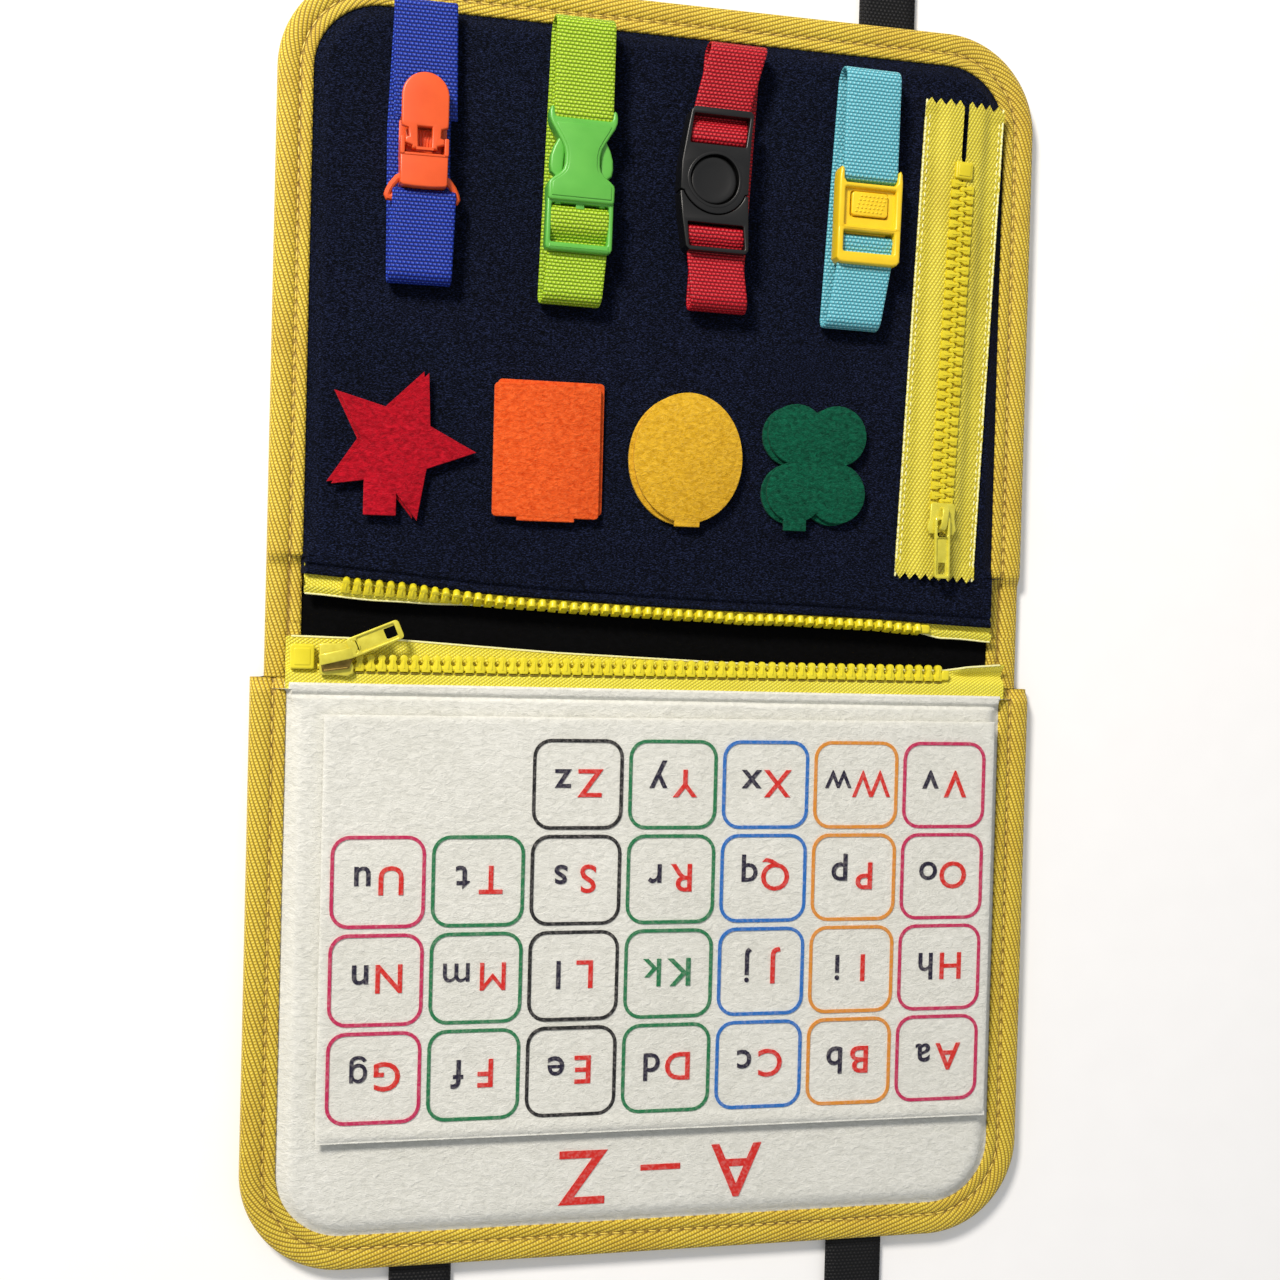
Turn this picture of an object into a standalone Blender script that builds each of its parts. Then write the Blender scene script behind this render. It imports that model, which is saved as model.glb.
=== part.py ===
"""Felt busy board: two felt covers on a soft spine, with a zipped pocket, straps and buckles.

The board lies open on its outer shell. +Z points up out of the pages, +Y runs from the lower
cover to the upper one, and the origin is the middle of the spine's underside. Metres throughout.
"""
import math

import bmesh
import bpy
from mathutils import Matrix, Vector

# Driving dimensions of the two covers and the spine
lower_width = 0.310
upper_width = 0.300
cover_length = 0.222
spine_width = 0.040
corner_radius = 0.038
shell_thickness = 0.003
page_thickness = 0.0024
pocket_depth = 0.0046
binding_width = 0.013
tape_wall = 0.0008
clearance = 0.0003
overrun = 0.002

# Driving dimensions of the webbing and of the zippers
webbing_width = 0.0236
webbing_thickness = 0.0012
tooth_pitch = 0.0041
tooth_length = 0.0056
tooth_thickness = 0.0026
tooth_overlap = 0.0026
zip_tape_thickness = 0.0008

# Heights that follow from the layers
spine_half = spine_width / 2
cover_edge = spine_half + cover_length
hinge_height = shell_thickness
page_edge_bottom = shell_thickness + clearance
page_edge_top = page_edge_bottom + page_thickness
page_bottom = shell_thickness + pocket_depth
page_top = page_bottom + page_thickness
binding_height = page_edge_top + clearance + tape_wall
bare_binding_height = shell_thickness + clearance + tape_wall
lip_setback = 0.0045
lip_line = spine_half + lip_setback

CORNER_STEPS = 7
board = "felt_busy_board"

for item in list(bpy.data.objects):
    bpy.data.objects.remove(item, do_unlink=True)

part_collection = bpy.data.collections.new(board)
cutter_collection = bpy.data.collections.new("cutters")
bpy.context.scene.collection.children.link(part_collection)
bpy.context.scene.collection.children.link(cutter_collection)


# Materials

def material(name, red, green, blue, roughness, metallic=0.0):
    made = bpy.data.materials.new(name)
    made.use_nodes = True
    shader = made.node_tree.nodes["Principled BSDF"]
    shader.inputs["Base Color"].default_value = (red, green, blue, 1.0)
    shader.inputs["Roughness"].default_value = roughness
    shader.inputs["Metallic"].default_value = metallic
    made.diffuse_color = (red, green, blue, 1.0)
    return made


black_felt = material("black_felt", 0.008, 0.009, 0.012, 0.95)
navy_felt = material("navy_felt", 0.007, 0.010, 0.026, 0.95)
white_felt = material("white_felt", 0.72, 0.69, 0.65, 0.95)
yellow_twill = material("yellow_twill", 0.72, 0.42, 0.02, 0.80)
black_webbing = material("black_webbing", 0.012, 0.012, 0.013, 0.75)
hook_tape = material("hook_tape", 0.60, 0.58, 0.55, 0.80)
zip_yellow = material("zip_yellow", 0.86, 0.74, 0.04, 0.60)
zip_teeth = material("zip_teeth", 0.88, 0.78, 0.05, 0.35)
zip_brass = material("zip_brass", 0.50, 0.43, 0.05, 0.30, 0.8)
blue_webbing = material("blue_webbing", 0.013, 0.05, 0.46, 0.70)
lime_webbing = material("lime_webbing", 0.48, 0.69, 0.03, 0.70)
red_webbing = material("red_webbing", 0.65, 0.006, 0.024, 0.70)
sky_webbing = material("sky_webbing", 0.20, 0.59, 0.69, 0.70)
orange_plastic = material("orange_plastic", 0.88, 0.14, 0.023, 0.40)
green_plastic = material("green_plastic", 0.17, 0.57, 0.10, 0.40)
black_plastic = material("black_plastic", 0.020, 0.020, 0.022, 0.45)
yellow_plastic = material("yellow_plastic", 0.88, 0.60, 0.012, 0.40)
red_felt = material("red_felt", 0.53, 0.008, 0.022, 0.95)
orange_felt = material("orange_felt", 0.90, 0.13, 0.024, 0.95)
amber_felt = material("amber_felt", 0.92, 0.51, 0.05, 0.95)
green_felt = material("green_felt", 0.006, 0.13, 0.07, 0.95)


# Frames and objects

def frame_at(name, place, parent=None, lean=0.0):
    """An empty on a joint's axis, or at the natural centre of a small assembly."""
    empty = bpy.data.objects.new(name, None)
    empty.empty_display_size = binding_width
    part_collection.objects.link(empty)
    empty.rotation_euler = (0.0, 0.0, lean)
    empty.location = place
    if parent is not None:
        empty.parent = parent
        empty.matrix_parent_inverse = parent.matrix_world.inverted()
    bpy.context.view_layer.update()
    return empty


def frame_in(name, place, parent, lean=0.0):
    """An empty placed in its parent's own frame."""
    empty = bpy.data.objects.new(name, None)
    empty.empty_display_size = binding_width
    part_collection.objects.link(empty)
    empty.parent = parent
    empty.rotation_euler = (0.0, 0.0, lean)
    empty.location = place
    bpy.context.view_layer.update()
    return empty


def add_object(name, mesh, finish, carrier, home=None):
    """Links a mesh modelled in the frame of home (the world if none) and parents it to carrier."""
    made = bpy.data.objects.new(name, mesh)
    part_collection.objects.link(made)
    mesh.materials.clear()
    mesh.materials.append(finish)
    base = home.matrix_world if home is not None else Matrix.Identity(4)
    made.parent = carrier
    made.matrix_parent_inverse = carrier.matrix_world.inverted() @ base
    bpy.context.view_layer.update()
    return made


def add_cutter(name, mesh, carrier, home=None):
    made = add_object(name, mesh, black_felt, carrier, home)
    part_collection.objects.unlink(made)
    cutter_collection.objects.link(made)
    made.hide_render = True
    made.display_type = "WIRE"
    return made


def boolean(target, tool, operation="DIFFERENCE"):
    step = target.modifiers.new(tool.name, "BOOLEAN")
    step.object = tool
    step.operation = operation
    step.solver = "EXACT"


def soften(target, width, segments=1):
    step = target.modifiers.new("softened_edges", "BEVEL")
    step.width = width
    step.segments = segments
    step.limit_method = "ANGLE"
    step.angle_limit = math.radians(50)


# Mesh builders

PLAN = Matrix.Identity(4)
SIDE = Matrix(((0, 0, 1, 0), (1, 0, 0, 0), (0, 1, 0, 0), (0, 0, 0, 1)))


def finish_mesh(mesh):
    shape = bmesh.new()
    shape.from_mesh(mesh)
    bmesh.ops.remove_doubles(shape, verts=shape.verts, dist=clearance / 100)
    bmesh.ops.recalc_face_normals(shape, faces=shape.faces)
    shape.to_mesh(mesh)
    shape.free()
    return mesh


def plate(name, outlines, bottom, top, turn=PLAN):
    """Flat outlines given thickness. An outline inside another is a hole. SIDE puts them in YZ."""
    curve = bpy.data.curves.new(name, "CURVE")
    curve.dimensions = "2D"
    curve.fill_mode = "BOTH"
    curve.extrude = (top - bottom) / 2
    for outline in outlines:
        spline = curve.splines.new("POLY")
        spline.points.add(len(outline) - 1)
        for point, (across, along) in zip(spline.points, outline):
            point.co = (across, along, 0.0, 1.0)
        spline.use_cyclic_u = True
    holder = bpy.data.objects.new(name, curve)
    bpy.context.scene.collection.objects.link(holder)
    bpy.context.view_layer.update()
    graph = bpy.context.evaluated_depsgraph_get()
    mesh = bpy.data.meshes.new_from_object(holder.evaluated_get(graph))
    bpy.data.objects.remove(holder, do_unlink=True)
    bpy.data.curves.remove(curve)
    mesh.transform(turn @ Matrix.Translation((0, 0, (top + bottom) / 2)))
    return finish_mesh(mesh)


def box(name, low, high):
    shape = bmesh.new()
    bmesh.ops.create_cube(shape, size=1.0)
    size = Vector(high) - Vector(low)
    middle = (Vector(high) + Vector(low)) / 2
    shape.transform(Matrix.Translation(middle) @ Matrix.Diagonal((*size, 1.0)))
    mesh = bpy.data.meshes.new(name)
    shape.to_mesh(mesh)
    shape.free()
    return mesh


def rod(name, centre, radius, half_length, axis="X", sides=12):
    shape = bmesh.new()
    bmesh.ops.create_cone(shape, cap_ends=True, segments=sides, radius1=radius, radius2=radius,
                          depth=2 * half_length)
    turn = Matrix.Rotation(math.radians(90), 4, "Y") if axis == "X" else Matrix.Identity(4)
    shape.transform(Matrix.Translation(centre) @ turn)
    mesh = bpy.data.meshes.new(name)
    shape.to_mesh(mesh)
    shape.free()
    return mesh


def lofted(name, rings):
    """A closed skin through rings of equal point counts, capped at both ends."""
    shape = bmesh.new()
    rows = [[shape.verts.new(point) for point in ring] for ring in rings]
    for row, following in zip(rows, rows[1:]):
        for index in range(len(row)):
            after = (index + 1) % len(row)
            shape.faces.new((row[index], row[after], following[after], following[index]))
    shape.faces.new(list(reversed(rows[0])))
    shape.faces.new(rows[-1])
    bmesh.ops.recalc_face_normals(shape, faces=shape.faces)
    mesh = bpy.data.meshes.new(name)
    shape.to_mesh(mesh)
    shape.free()
    return mesh


# Outlines

def arc(centre_x, centre_y, radius, start, end, steps):
    """Points along an arc, angles in degrees."""
    points = []
    for step in range(steps + 1):
        angle = math.radians(start + (end - start) * step / steps)
        points.append((centre_x + radius * math.cos(angle), centre_y + radius * math.sin(angle)))
    return points


def rectangle(low_x, low_y, high_x, high_y):
    return [(low_x, low_y), (high_x, low_y), (high_x, high_y), (low_x, high_y)]


def rounded(centre_x, centre_y, half_x, half_y, radius, steps=3):
    points = []
    for turn, (side_x, side_y) in enumerate(((1, 1), (-1, 1), (-1, -1), (1, -1))):
        corner_x = centre_x + side_x * (half_x - radius)
        corner_y = centre_y + side_y * (half_y - radius)
        points += arc(corner_x, corner_y, radius, 90 * turn, 90 * turn + 90, steps)
    return points


def mirrored(half):
    """Completes an outline from its right half, listed from the bottom up."""
    left = [(-across, along) for across, along in reversed(half) if across > 0]
    return list(half) + left


def band(path, thickness):
    """Outline of a strip of the given thickness that follows a path."""
    sides = ([], [])
    for index, (across, along) in enumerate(path):
        before = Vector(path[max(index - 1, 0)])
        after = Vector(path[min(index + 1, len(path) - 1)])
        here = Vector((across, along))
        way_in = (here - before).normalized() if index else (after - here).normalized()
        way_out = (after - here).normalized() if index < len(path) - 1 else way_in
        bisector = (way_in + way_out).normalized()
        normal = Vector((-bisector.y, bisector.x))
        reach = thickness / 2 / max(bisector.dot(way_in), 0.5)
        sides[0].append(tuple(here + normal * reach))
        sides[1].append(tuple(here - normal * reach))
    return sides[0] + list(reversed(sides[1]))


def cover_path(half_width, mouth, side, inset):
    """Three sides of a cover, from its left end at the spine round to its right end."""
    radius = corner_radius - inset
    half = half_width - inset
    edge = cover_edge - inset
    points = [(-half, mouth)]
    points += arc(-half + radius, edge - radius, radius, 180, 90, CORNER_STEPS)
    points += arc(half - radius, edge - radius, radius, 90, 0, CORNER_STEPS)
    points.append((half, mouth))
    return [(across, side * along) for across, along in points]


# Covers: shell, page and binding

def cover_shell(name, half_width, side, finish, carrier):
    """Hard felt cover. Its rim is pressed thinner underneath, where the binding folds round it."""
    mouth = spine_half + clearance / 2
    outline = cover_path(half_width, mouth, side, tape_wall + clearance)
    shell = add_object(name, plate(name, [outline], 0.0, shell_thickness), finish, carrier)
    beyond = mouth - overrun
    outer = cover_path(half_width, beyond, side, -overrun)
    inner = cover_path(half_width, beyond, side, binding_width + clearance)
    rim = plate(name + "_rim", [outer + list(reversed(inner))], -overrun, tape_wall + clearance)
    boolean(shell, add_cutter(name + "_rim", rim, carrier))
    return shell


def page_rings(half_width, mouth, side, rise):
    """Rings of the page from its sewn edge up to the flat middle, as (outline, height)."""
    rings = []
    ramp_start = binding_width + clearance
    ramp_width = binding_width / 2
    ramp_shares = (0.0, 0.35, 0.65, 1.0)
    rings.append((cover_path(half_width, mouth, side, tape_wall + clearance), 0.0))
    for share in ramp_shares:
        height = rise * (1 - math.cos(math.pi * share)) / 2
        rings.append((cover_path(half_width, mouth, side, ramp_start + ramp_width * share), height))
    return rings


def cover_page(name, half_width, mouth, side, finish, carrier):
    """Felt page: sewn flat on the shell round three sides, lifted off it in the middle."""
    shape = bmesh.new()
    rings = page_rings(half_width, mouth, side, page_bottom - page_edge_bottom)
    upper = []
    lower = []
    for outline, height in rings:
        upper.append([shape.verts.new((x, y, page_edge_top + height)) for x, y in outline])
        lower.append([shape.verts.new((x, y, page_edge_bottom + height)) for x, y in outline])
    count = len(rings[0][0])
    for level in range(len(rings) - 1):
        for index in range(count - 1):
            for rows in (upper, lower):
                shape.faces.new((rows[level][index], rows[level][index + 1],
                                 rows[level + 1][index + 1], rows[level + 1][index]))
        for end in (0, -1):
            shape.faces.new((upper[level][end], upper[level + 1][end],
                             lower[level + 1][end], lower[level][end]))
    for index in range(count - 1):
        shape.faces.new((upper[0][index], upper[0][index + 1],
                         lower[0][index + 1], lower[0][index]))
    shape.faces.new((upper[-1][0], upper[-1][-1], lower[-1][-1], lower[-1][0]))
    shape.faces.new(upper[-1])
    shape.faces.new(lower[-1])
    bmesh.ops.recalc_face_normals(shape, faces=shape.faces)
    mesh = bpy.data.meshes.new(name)
    shape.to_mesh(mesh)
    shape.free()
    return add_object(name, mesh, finish, carrier)


def binding_profile(height):
    """Cross-section of tape folded round an edge, as (inset, height) pairs."""
    curl = tape_wall
    return [(binding_width, 0.0), (curl, 0.0), (0.0, curl), (0.0, height - curl), (curl, height),
            (binding_width, height), (binding_width, height - tape_wall),
            (tape_wall, height - tape_wall), (tape_wall, tape_wall), (binding_width, tape_wall)]


def cover_binding(name, half_width, side, carrier):
    """Tape folded round three edges. It hugs the bare shell where the page stops at the spine."""
    profile = binding_profile(binding_height)
    paths = [cover_path(half_width, lip_line, side, inset) for inset, height in profile]
    rings = []
    for index in range(len(paths[0])):
        rings.append([(*path[index], height) for path, (inset, height) in zip(paths, profile)])
    thin = binding_profile(bare_binding_height)
    for along in (lip_line - lip_setback / 2, spine_half + clearance / 2):
        left, right = [[(ring_side * (half_width - inset), side * along, height)
                        for inset, height in thin] for ring_side in (-1, 1)]
        rings = [left] + rings + [right]
    return add_object(name, lofted(name, rings), yellow_twill, carrier)


# Carrying handles
handle_span = 0.198
handle_reach = 0.045
handle_grip_width = 0.013
handle_turn = 0.026
handle_thickness = 0.0018
handle_bottom = tape_wall + clearance
handle_axis_height = handle_bottom + handle_thickness / 2
handle_axis_reach = cover_edge + clearance + handle_thickness / 2


def cover_handle(name, side, carrier):
    """Webbing handle: flat where it leaves the binding, folded narrow along the grip."""
    half_span = handle_span / 2
    inner_half = half_span - webbing_width
    inner_turn = handle_turn - handle_grip_width
    reach = cover_edge + handle_reach
    start = cover_edge + 2 * clearance
    outer = [(half_span, start)]
    outer += arc(half_span - handle_turn, reach - handle_turn, handle_turn, 0, 90, CORNER_STEPS)
    inner = arc(inner_half - inner_turn, reach - handle_turn, inner_turn, 90, 0, CORNER_STEPS)
    inner.append((inner_half, start))
    outline = outer + [(-x, y) for x, y in reversed(outer)]
    outline += [(-x, y) for x, y in reversed(inner)] + inner
    outline = [(x, side * y) for x, y in outline]
    mesh = plate(name, [outline], handle_bottom, handle_bottom + handle_thickness)
    return add_object(name, mesh, black_webbing, carrier)


# Frames of the moving parts of the board
board_origin = frame_at("board_origin", (0, 0, 0))
spine_axis = frame_at("spine_axis", (0, -spine_half, hinge_height), board_origin)
cover_axis = frame_at("cover_axis", (0, spine_half, hinge_height), spine_axis)
lower_lip_axis = frame_at("lower_lip_axis", (0, -lip_line, page_top), board_origin)
upper_lip_axis = frame_at("upper_lip_axis", (0, lip_line, page_top), cover_axis)
lower_handle_axis = frame_at("lower_handle_axis", (0, -handle_axis_reach, handle_axis_height),
                             board_origin)
upper_handle_axis = frame_at("upper_handle_axis", (0, handle_axis_reach, handle_axis_height),
                             cover_axis)

page_mouth = lip_line + clearance
cover_shell("lower_shell", lower_width / 2, -1, black_felt, board_origin)
cover_page("lower_page", lower_width / 2, page_mouth, -1, white_felt, board_origin)
cover_binding("lower_binding", lower_width / 2, -1, board_origin)
cover_handle("lower_handle", -1, lower_handle_axis)
cover_shell("upper_shell", upper_width / 2, 1, black_felt, cover_axis)
cover_page("upper_page", upper_width / 2, page_mouth, 1, navy_felt, cover_axis)
cover_binding("upper_binding", upper_width / 2, 1, cover_axis)
cover_handle("upper_handle", 1, upper_handle_axis)


# Spine: the same shell and binding, without a page
spine_shell_half = upper_width / 2 - tape_wall - clearance
spine_end = spine_half - clearance / 2
spine_outline = rectangle(-spine_shell_half, -spine_end, spine_shell_half, spine_end)
spine_shell = add_object("spine_shell", plate("spine_shell", [spine_outline], 0.0, shell_thickness),
                         black_felt, spine_axis)
fold_relief = 0.0014
for side, word in ((-1, "left"), (1, "right")):
    rim_inner = side * (upper_width / 2 - binding_width - clearance)
    rim_outer = side * (upper_width / 2 + overrun)
    rim_low = (min(rim_inner, rim_outer), -spine_half - overrun, -overrun)
    rim_high = (max(rim_inner, rim_outer), spine_half + overrun, tape_wall + clearance)
    boolean(spine_shell, add_cutter("spine_rim_" + word, box("spine_rim", rim_low, rim_high),
                                    spine_axis))
    edge_profile = binding_profile(bare_binding_height)
    ends = []
    for along in (fold_relief - spine_half, spine_half - fold_relief):
        ends.append([(side * (upper_width / 2 - inset), along, height)
                     for inset, height in edge_profile])
    add_object("spine_binding_" + word, lofted("spine_binding_" + word, ends), yellow_twill,
               spine_axis)


# Letter card: a loose felt sheet, held on the page by four hook-and-loop pads
card_width = 0.2655
card_length = 0.1585
card_thickness = 0.0022
card_offset = 0.0045
card_gap = 0.0090
card_corner = 0.0020
pad_length = 0.0300
pad_width = 0.0160
pad_thickness = 0.0012
pad_margin = 0.0120

card_middle = -lip_line - card_gap - card_length / 2
pad_bottom = page_top + clearance
card_bottom = pad_bottom + pad_thickness + clearance
card_home = frame_at("card_home", (card_offset, card_middle, card_bottom), board_origin)
for side_x, word_x in ((-1, "left"), (1, "right")):
    for side_y, word_y in ((-1, "near"), (1, "far")):
        middle_x = card_offset + side_x * (card_width / 2 - pad_margin - pad_length / 2)
        middle_y = card_middle + side_y * (card_length / 2 - pad_margin - pad_width / 2)
        pad = box("card_pad",
                  (middle_x - pad_length / 2, middle_y - pad_width / 2, pad_bottom),
                  (middle_x + pad_length / 2, middle_y + pad_width / 2, pad_bottom + pad_thickness))
        add_object("card_pad_" + word_x + "_" + word_y, pad, hook_tape, board_origin)
card_outline = rounded(card_offset, card_middle, card_width / 2, card_length / 2, card_corner)
add_object("letter_card",
           plate("letter_card", [card_outline], card_bottom, card_bottom + card_thickness),
           white_felt, card_home)


# Zippers: moulded teeth that grip the edge of a tape, sliders and pulls
tooth_width_shares = ((0.0, 0.33), (0.48, 0.14), (1.0, 0.24))
tape_grip = 0.0012
tooth_half = tooth_thickness / 2
slider_length = 0.0124
slider_rear_half = 0.0058
slider_front_half = 0.0069
slider_plate = 0.0011
slider_slit = 0.0015
diamond_half = 0.0006
diamond_length = 0.0030
crown_half_width = 0.0009
crown_half_length = 0.0036
crown_thickness = 0.0010
crown_opening = 0.0023
pull_thickness = 0.0014
pull_length = 0.0245
pull_half_width = 0.0037
pull_corner = 0.0016
pull_eye_half = 0.0027
pull_eye_length = 0.0072
pull_hole_half = 0.0021
pull_hole_length = 0.0045
pull_rim = 0.0018
slider_top = tooth_half + clearance + slider_plate
pull_bar_height = slider_top + crown_opening / 2


def teeth(name, count, first, step, direction, middle):
    """A row of moulded teeth, each with a block on the tape, a neck and a wider head."""
    across = (-direction[1], direction[0])
    half = [(tooth_length * along, tooth_pitch * wide) for along, wide in tooth_width_shares]
    points = half + [(along, -width) for along, width in reversed(half)]
    outlines = []
    for index in range(count):
        base_x = first[0] + step[0] * index
        base_y = first[1] + step[1] * index
        outlines.append([(base_x + direction[0] * along + across[0] * width,
                          base_y + direction[1] * along + across[1] * width)
                         for along, width in points])
    return plate(name, outlines, middle - tooth_half, middle + tooth_half)


def zip_slider(name, home, carrier, rear_half, channel_half, diamond_middle):
    """Slider body. Its +Y end is the wide one, and a diamond post ties its two plates."""
    half = slider_length / 2
    chamfer = slider_plate
    right = [(rear_half - chamfer, -half), (rear_half, -half + chamfer),
             (rear_half, 0.0), (slider_front_half, half - 2 * chamfer),
             (slider_front_half - chamfer, half), (2 * chamfer, half), (0.0, half - chamfer)]
    body = add_object(name, plate(name, [mirrored(right)], -slider_top, slider_top), zip_brass,
                      carrier, home)
    reach = tooth_half + clearance
    channel = box(name + "_channel", (-channel_half, -half - overrun, -reach),
                  (channel_half, half + overrun, reach))
    boolean(body, add_cutter(name + "_channel", channel, carrier, home))
    slit_half = slider_slit / 2
    wide = slider_front_half + overrun
    slit = box(name + "_slit", (-wide, -half - overrun, -slit_half),
               (wide, half + overrun, slit_half))
    boolean(body, add_cutter(name + "_slit", slit, carrier, home))
    post_end = half - chamfer - slider_plate / 2
    inside = slider_top - slider_plate / 2
    post = box(name + "_diamond",
               (diamond_middle - diamond_half, post_end - diamond_length, -inside),
               (diamond_middle + diamond_half, post_end, inside))
    boolean(body, add_cutter(name + "_diamond", post, carrier, home), "UNION")
    crown_top = slider_top + crown_opening + crown_thickness / 2
    arch = [(-crown_half_length, inside), (-crown_half_length, crown_top),
            (crown_half_length, crown_top), (crown_half_length, inside)]
    crown = plate(name + "_crown", [band(arch, crown_thickness)], -crown_half_width,
                  crown_half_width, SIDE)
    boolean(body, add_cutter(name + "_crown", crown, carrier, home), "UNION")
    return body


def zip_pull(name, home):
    """Flat metal tab that points along +Y. Its root bar passes under the slider's crown."""
    bar_half = pull_thickness / 2
    outer = rounded(0.0, pull_length / 2 - bar_half, pull_half_width, pull_length / 2, pull_corner, 2)
    eye = rectangle(-pull_eye_half, bar_half, pull_eye_half, pull_eye_length)
    tip = pull_length - bar_half - pull_rim
    hole = rectangle(-pull_hole_half, tip - pull_hole_length, pull_hole_half, tip)
    mesh = plate(name, [outer, eye, hole], -bar_half, bar_half)
    return add_object(name, mesh, zip_brass, home, home)


# Pocket zipper, lower side: its lip folds up with the spine
POCKET_TEETH = 60
lip_mid_height = page_top - tooth_half
lower_tape_depth = 0.0065
lower_chain_y = -lip_line + lower_tape_depth
pocket_chain_start = -0.1280
pocket_slider_x = -0.1245
pocket_box_length = 0.0088
pocket_box_width = 0.0092
pocket_box_height = 0.0036
tape_end_gap = 0.0010
pull_skew = math.radians(20)

lower_tape_half = lower_width / 2 - binding_width - tape_end_gap
lower_tape_outline = rectangle(-lower_tape_half, -lip_line + clearance,
                               lower_tape_half, lower_chain_y + tape_grip)
pocket_zip_lower = add_object(
    "pocket_zip_lower",
    plate("pocket_zip_lower", [lower_tape_outline], lip_mid_height - zip_tape_thickness / 2,
          lip_mid_height + zip_tape_thickness / 2),
    zip_yellow, lower_lip_axis)
lower_teeth = teeth("pocket_teeth_lower", POCKET_TEETH, (pocket_chain_start, lower_chain_y),
                    (tooth_pitch, 0.0), (0.0, 1.0), lip_mid_height)
boolean(pocket_zip_lower, add_cutter("pocket_teeth_lower", lower_teeth, lower_lip_axis), "UNION")

box_right = pocket_slider_x - slider_length / 2 - 2 * clearance
box_low_y = lower_chain_y + tape_grip + clearance
pocket_box = box("pocket_box",
                 (box_right - pocket_box_length, box_low_y, lip_mid_height - pocket_box_height / 2),
                 (box_right, box_low_y + pocket_box_width, lip_mid_height + pocket_box_height / 2))
soften(add_object("pocket_box", pocket_box, zip_teeth, lower_lip_axis), slider_plate / 2)

pocket_channel_half = slider_front_half - slider_plate
pocket_line = lower_chain_y + pocket_channel_half - clearance
pocket_slider_home = frame_at("pocket_slider_home", (pocket_slider_x, pocket_line, lip_mid_height),
                              lower_lip_axis, math.radians(-90))
diamond_clear = pocket_channel_half - clearance - tooth_length - clearance - diamond_half
zip_slider("pocket_slider", pocket_slider_home, pocket_slider_home, slider_front_half,
           pocket_channel_half, diamond_clear)
pocket_pull_home = frame_at("pocket_pull_home",
                            (pocket_slider_x, pocket_line, lip_mid_height + pull_bar_height),
                            pocket_slider_home, math.radians(-90) + pull_skew)
zip_pull("pocket_pull", pocket_pull_home)

# Pocket zipper, upper side: a navy hem carries the tape, lower at its right end
lip_lean = math.radians(-2)
hem_depth = 0.0085
hem_thickness = 0.0016
upper_half = upper_width / 2 - binding_width - clearance
hem_edge = lip_line - hem_depth


def lip_outline(top, edge):
    """A strip across the cover whose lower edge leans."""
    drop = math.tan(lip_lean) * upper_half
    return [(-upper_half, edge - drop), (upper_half, edge + drop), (upper_half, top),
            (-upper_half, top)]


hem_bottom = page_top - hem_thickness
add_object("upper_hem",
           plate("upper_hem", [lip_outline(lip_line - clearance, hem_edge)], hem_bottom, page_top),
           navy_felt, upper_lip_axis)
upper_zip_mid = hem_bottom - clearance - zip_tape_thickness / 2
upper_tape_outline = lip_outline(lip_line - clearance, hem_edge - clearance - tape_grip)
pocket_zip_upper = add_object(
    "pocket_zip_upper",
    plate("pocket_zip_upper", [upper_tape_outline], upper_zip_mid - zip_tape_thickness / 2,
          upper_zip_mid + zip_tape_thickness / 2),
    zip_yellow, upper_lip_axis)
upper_lip_home = frame_at("upper_lip_home", (0, hem_edge - clearance, upper_zip_mid),
                          upper_lip_axis, lip_lean)
upper_teeth = teeth("pocket_teeth_upper", POCKET_TEETH,
                    (pocket_chain_start + tooth_pitch / 2, 0.0), (tooth_pitch, 0.0),
                    (0.0, -1.0), 0.0)
boolean(pocket_zip_upper,
        add_cutter("pocket_teeth_upper", upper_teeth, upper_lip_axis, upper_lip_home), "UNION")


# Play zipper, sewn on the navy page and zipped shut, its box towards the upper edge
play_length = 0.1840
play_half_width = 0.0165
play_x = 0.1135
play_y = 0.1185
play_lean = math.radians(-1.3)
play_box_top = 0.0660
play_chain_end = -0.0700
play_box_length = 0.0062
play_box_half = 0.0046
play_box_half_height = 0.0022
pinking_depth = 0.0026
settle_shares = (1.0, 1.0, 1.0, 0.5, 0.0, 0.0, 0.0, 0.0, 0.0)
play_mid_height = slider_top + clearance
closed_half = tooth_length - tooth_overlap / 2
play_home = frame_at("play_home", (play_x, play_y, page_top), cover_axis, play_lean)
play_box_low = play_box_top - play_box_length
PLAY_TEETH = int((play_box_low - play_chain_end) / tooth_pitch)


def play_tape(name, side):
    """Zipper tape: level beside the teeth, sewn down flat outside, with pinked ends."""
    inner = closed_half - tape_grip
    rings = []
    for step, settle in enumerate(settle_shares):
        across = side * (inner + (play_half_width - inner) * step / (len(settle_shares) - 1))
        end = play_length / 2 - pinking_depth * ((step + 1) % 2)
        level = play_mid_height - zip_tape_thickness / 2
        low = clearance + (level - clearance) * settle
        high = low + zip_tape_thickness
        rings.append([(across, -end, low), (across, end, low), (across, end, high),
                      (across, -end, high)])
    return add_object(name, lofted(name, rings), zip_yellow, cover_axis, play_home)


for side, word in ((-1, "left"), (1, "right")):
    tape = play_tape("play_zip_" + word, side)
    stagger = 0.0 if side < 0 else tooth_pitch / 2
    first = (side * closed_half, play_box_low - tooth_pitch / 2 - stagger)
    row = teeth("play_teeth_" + word, PLAY_TEETH, first, (0.0, -tooth_pitch), (-side, 0.0),
                play_mid_height)
    boolean(tape, add_cutter("play_teeth_" + word, row, cover_axis, play_home), "UNION")
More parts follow.
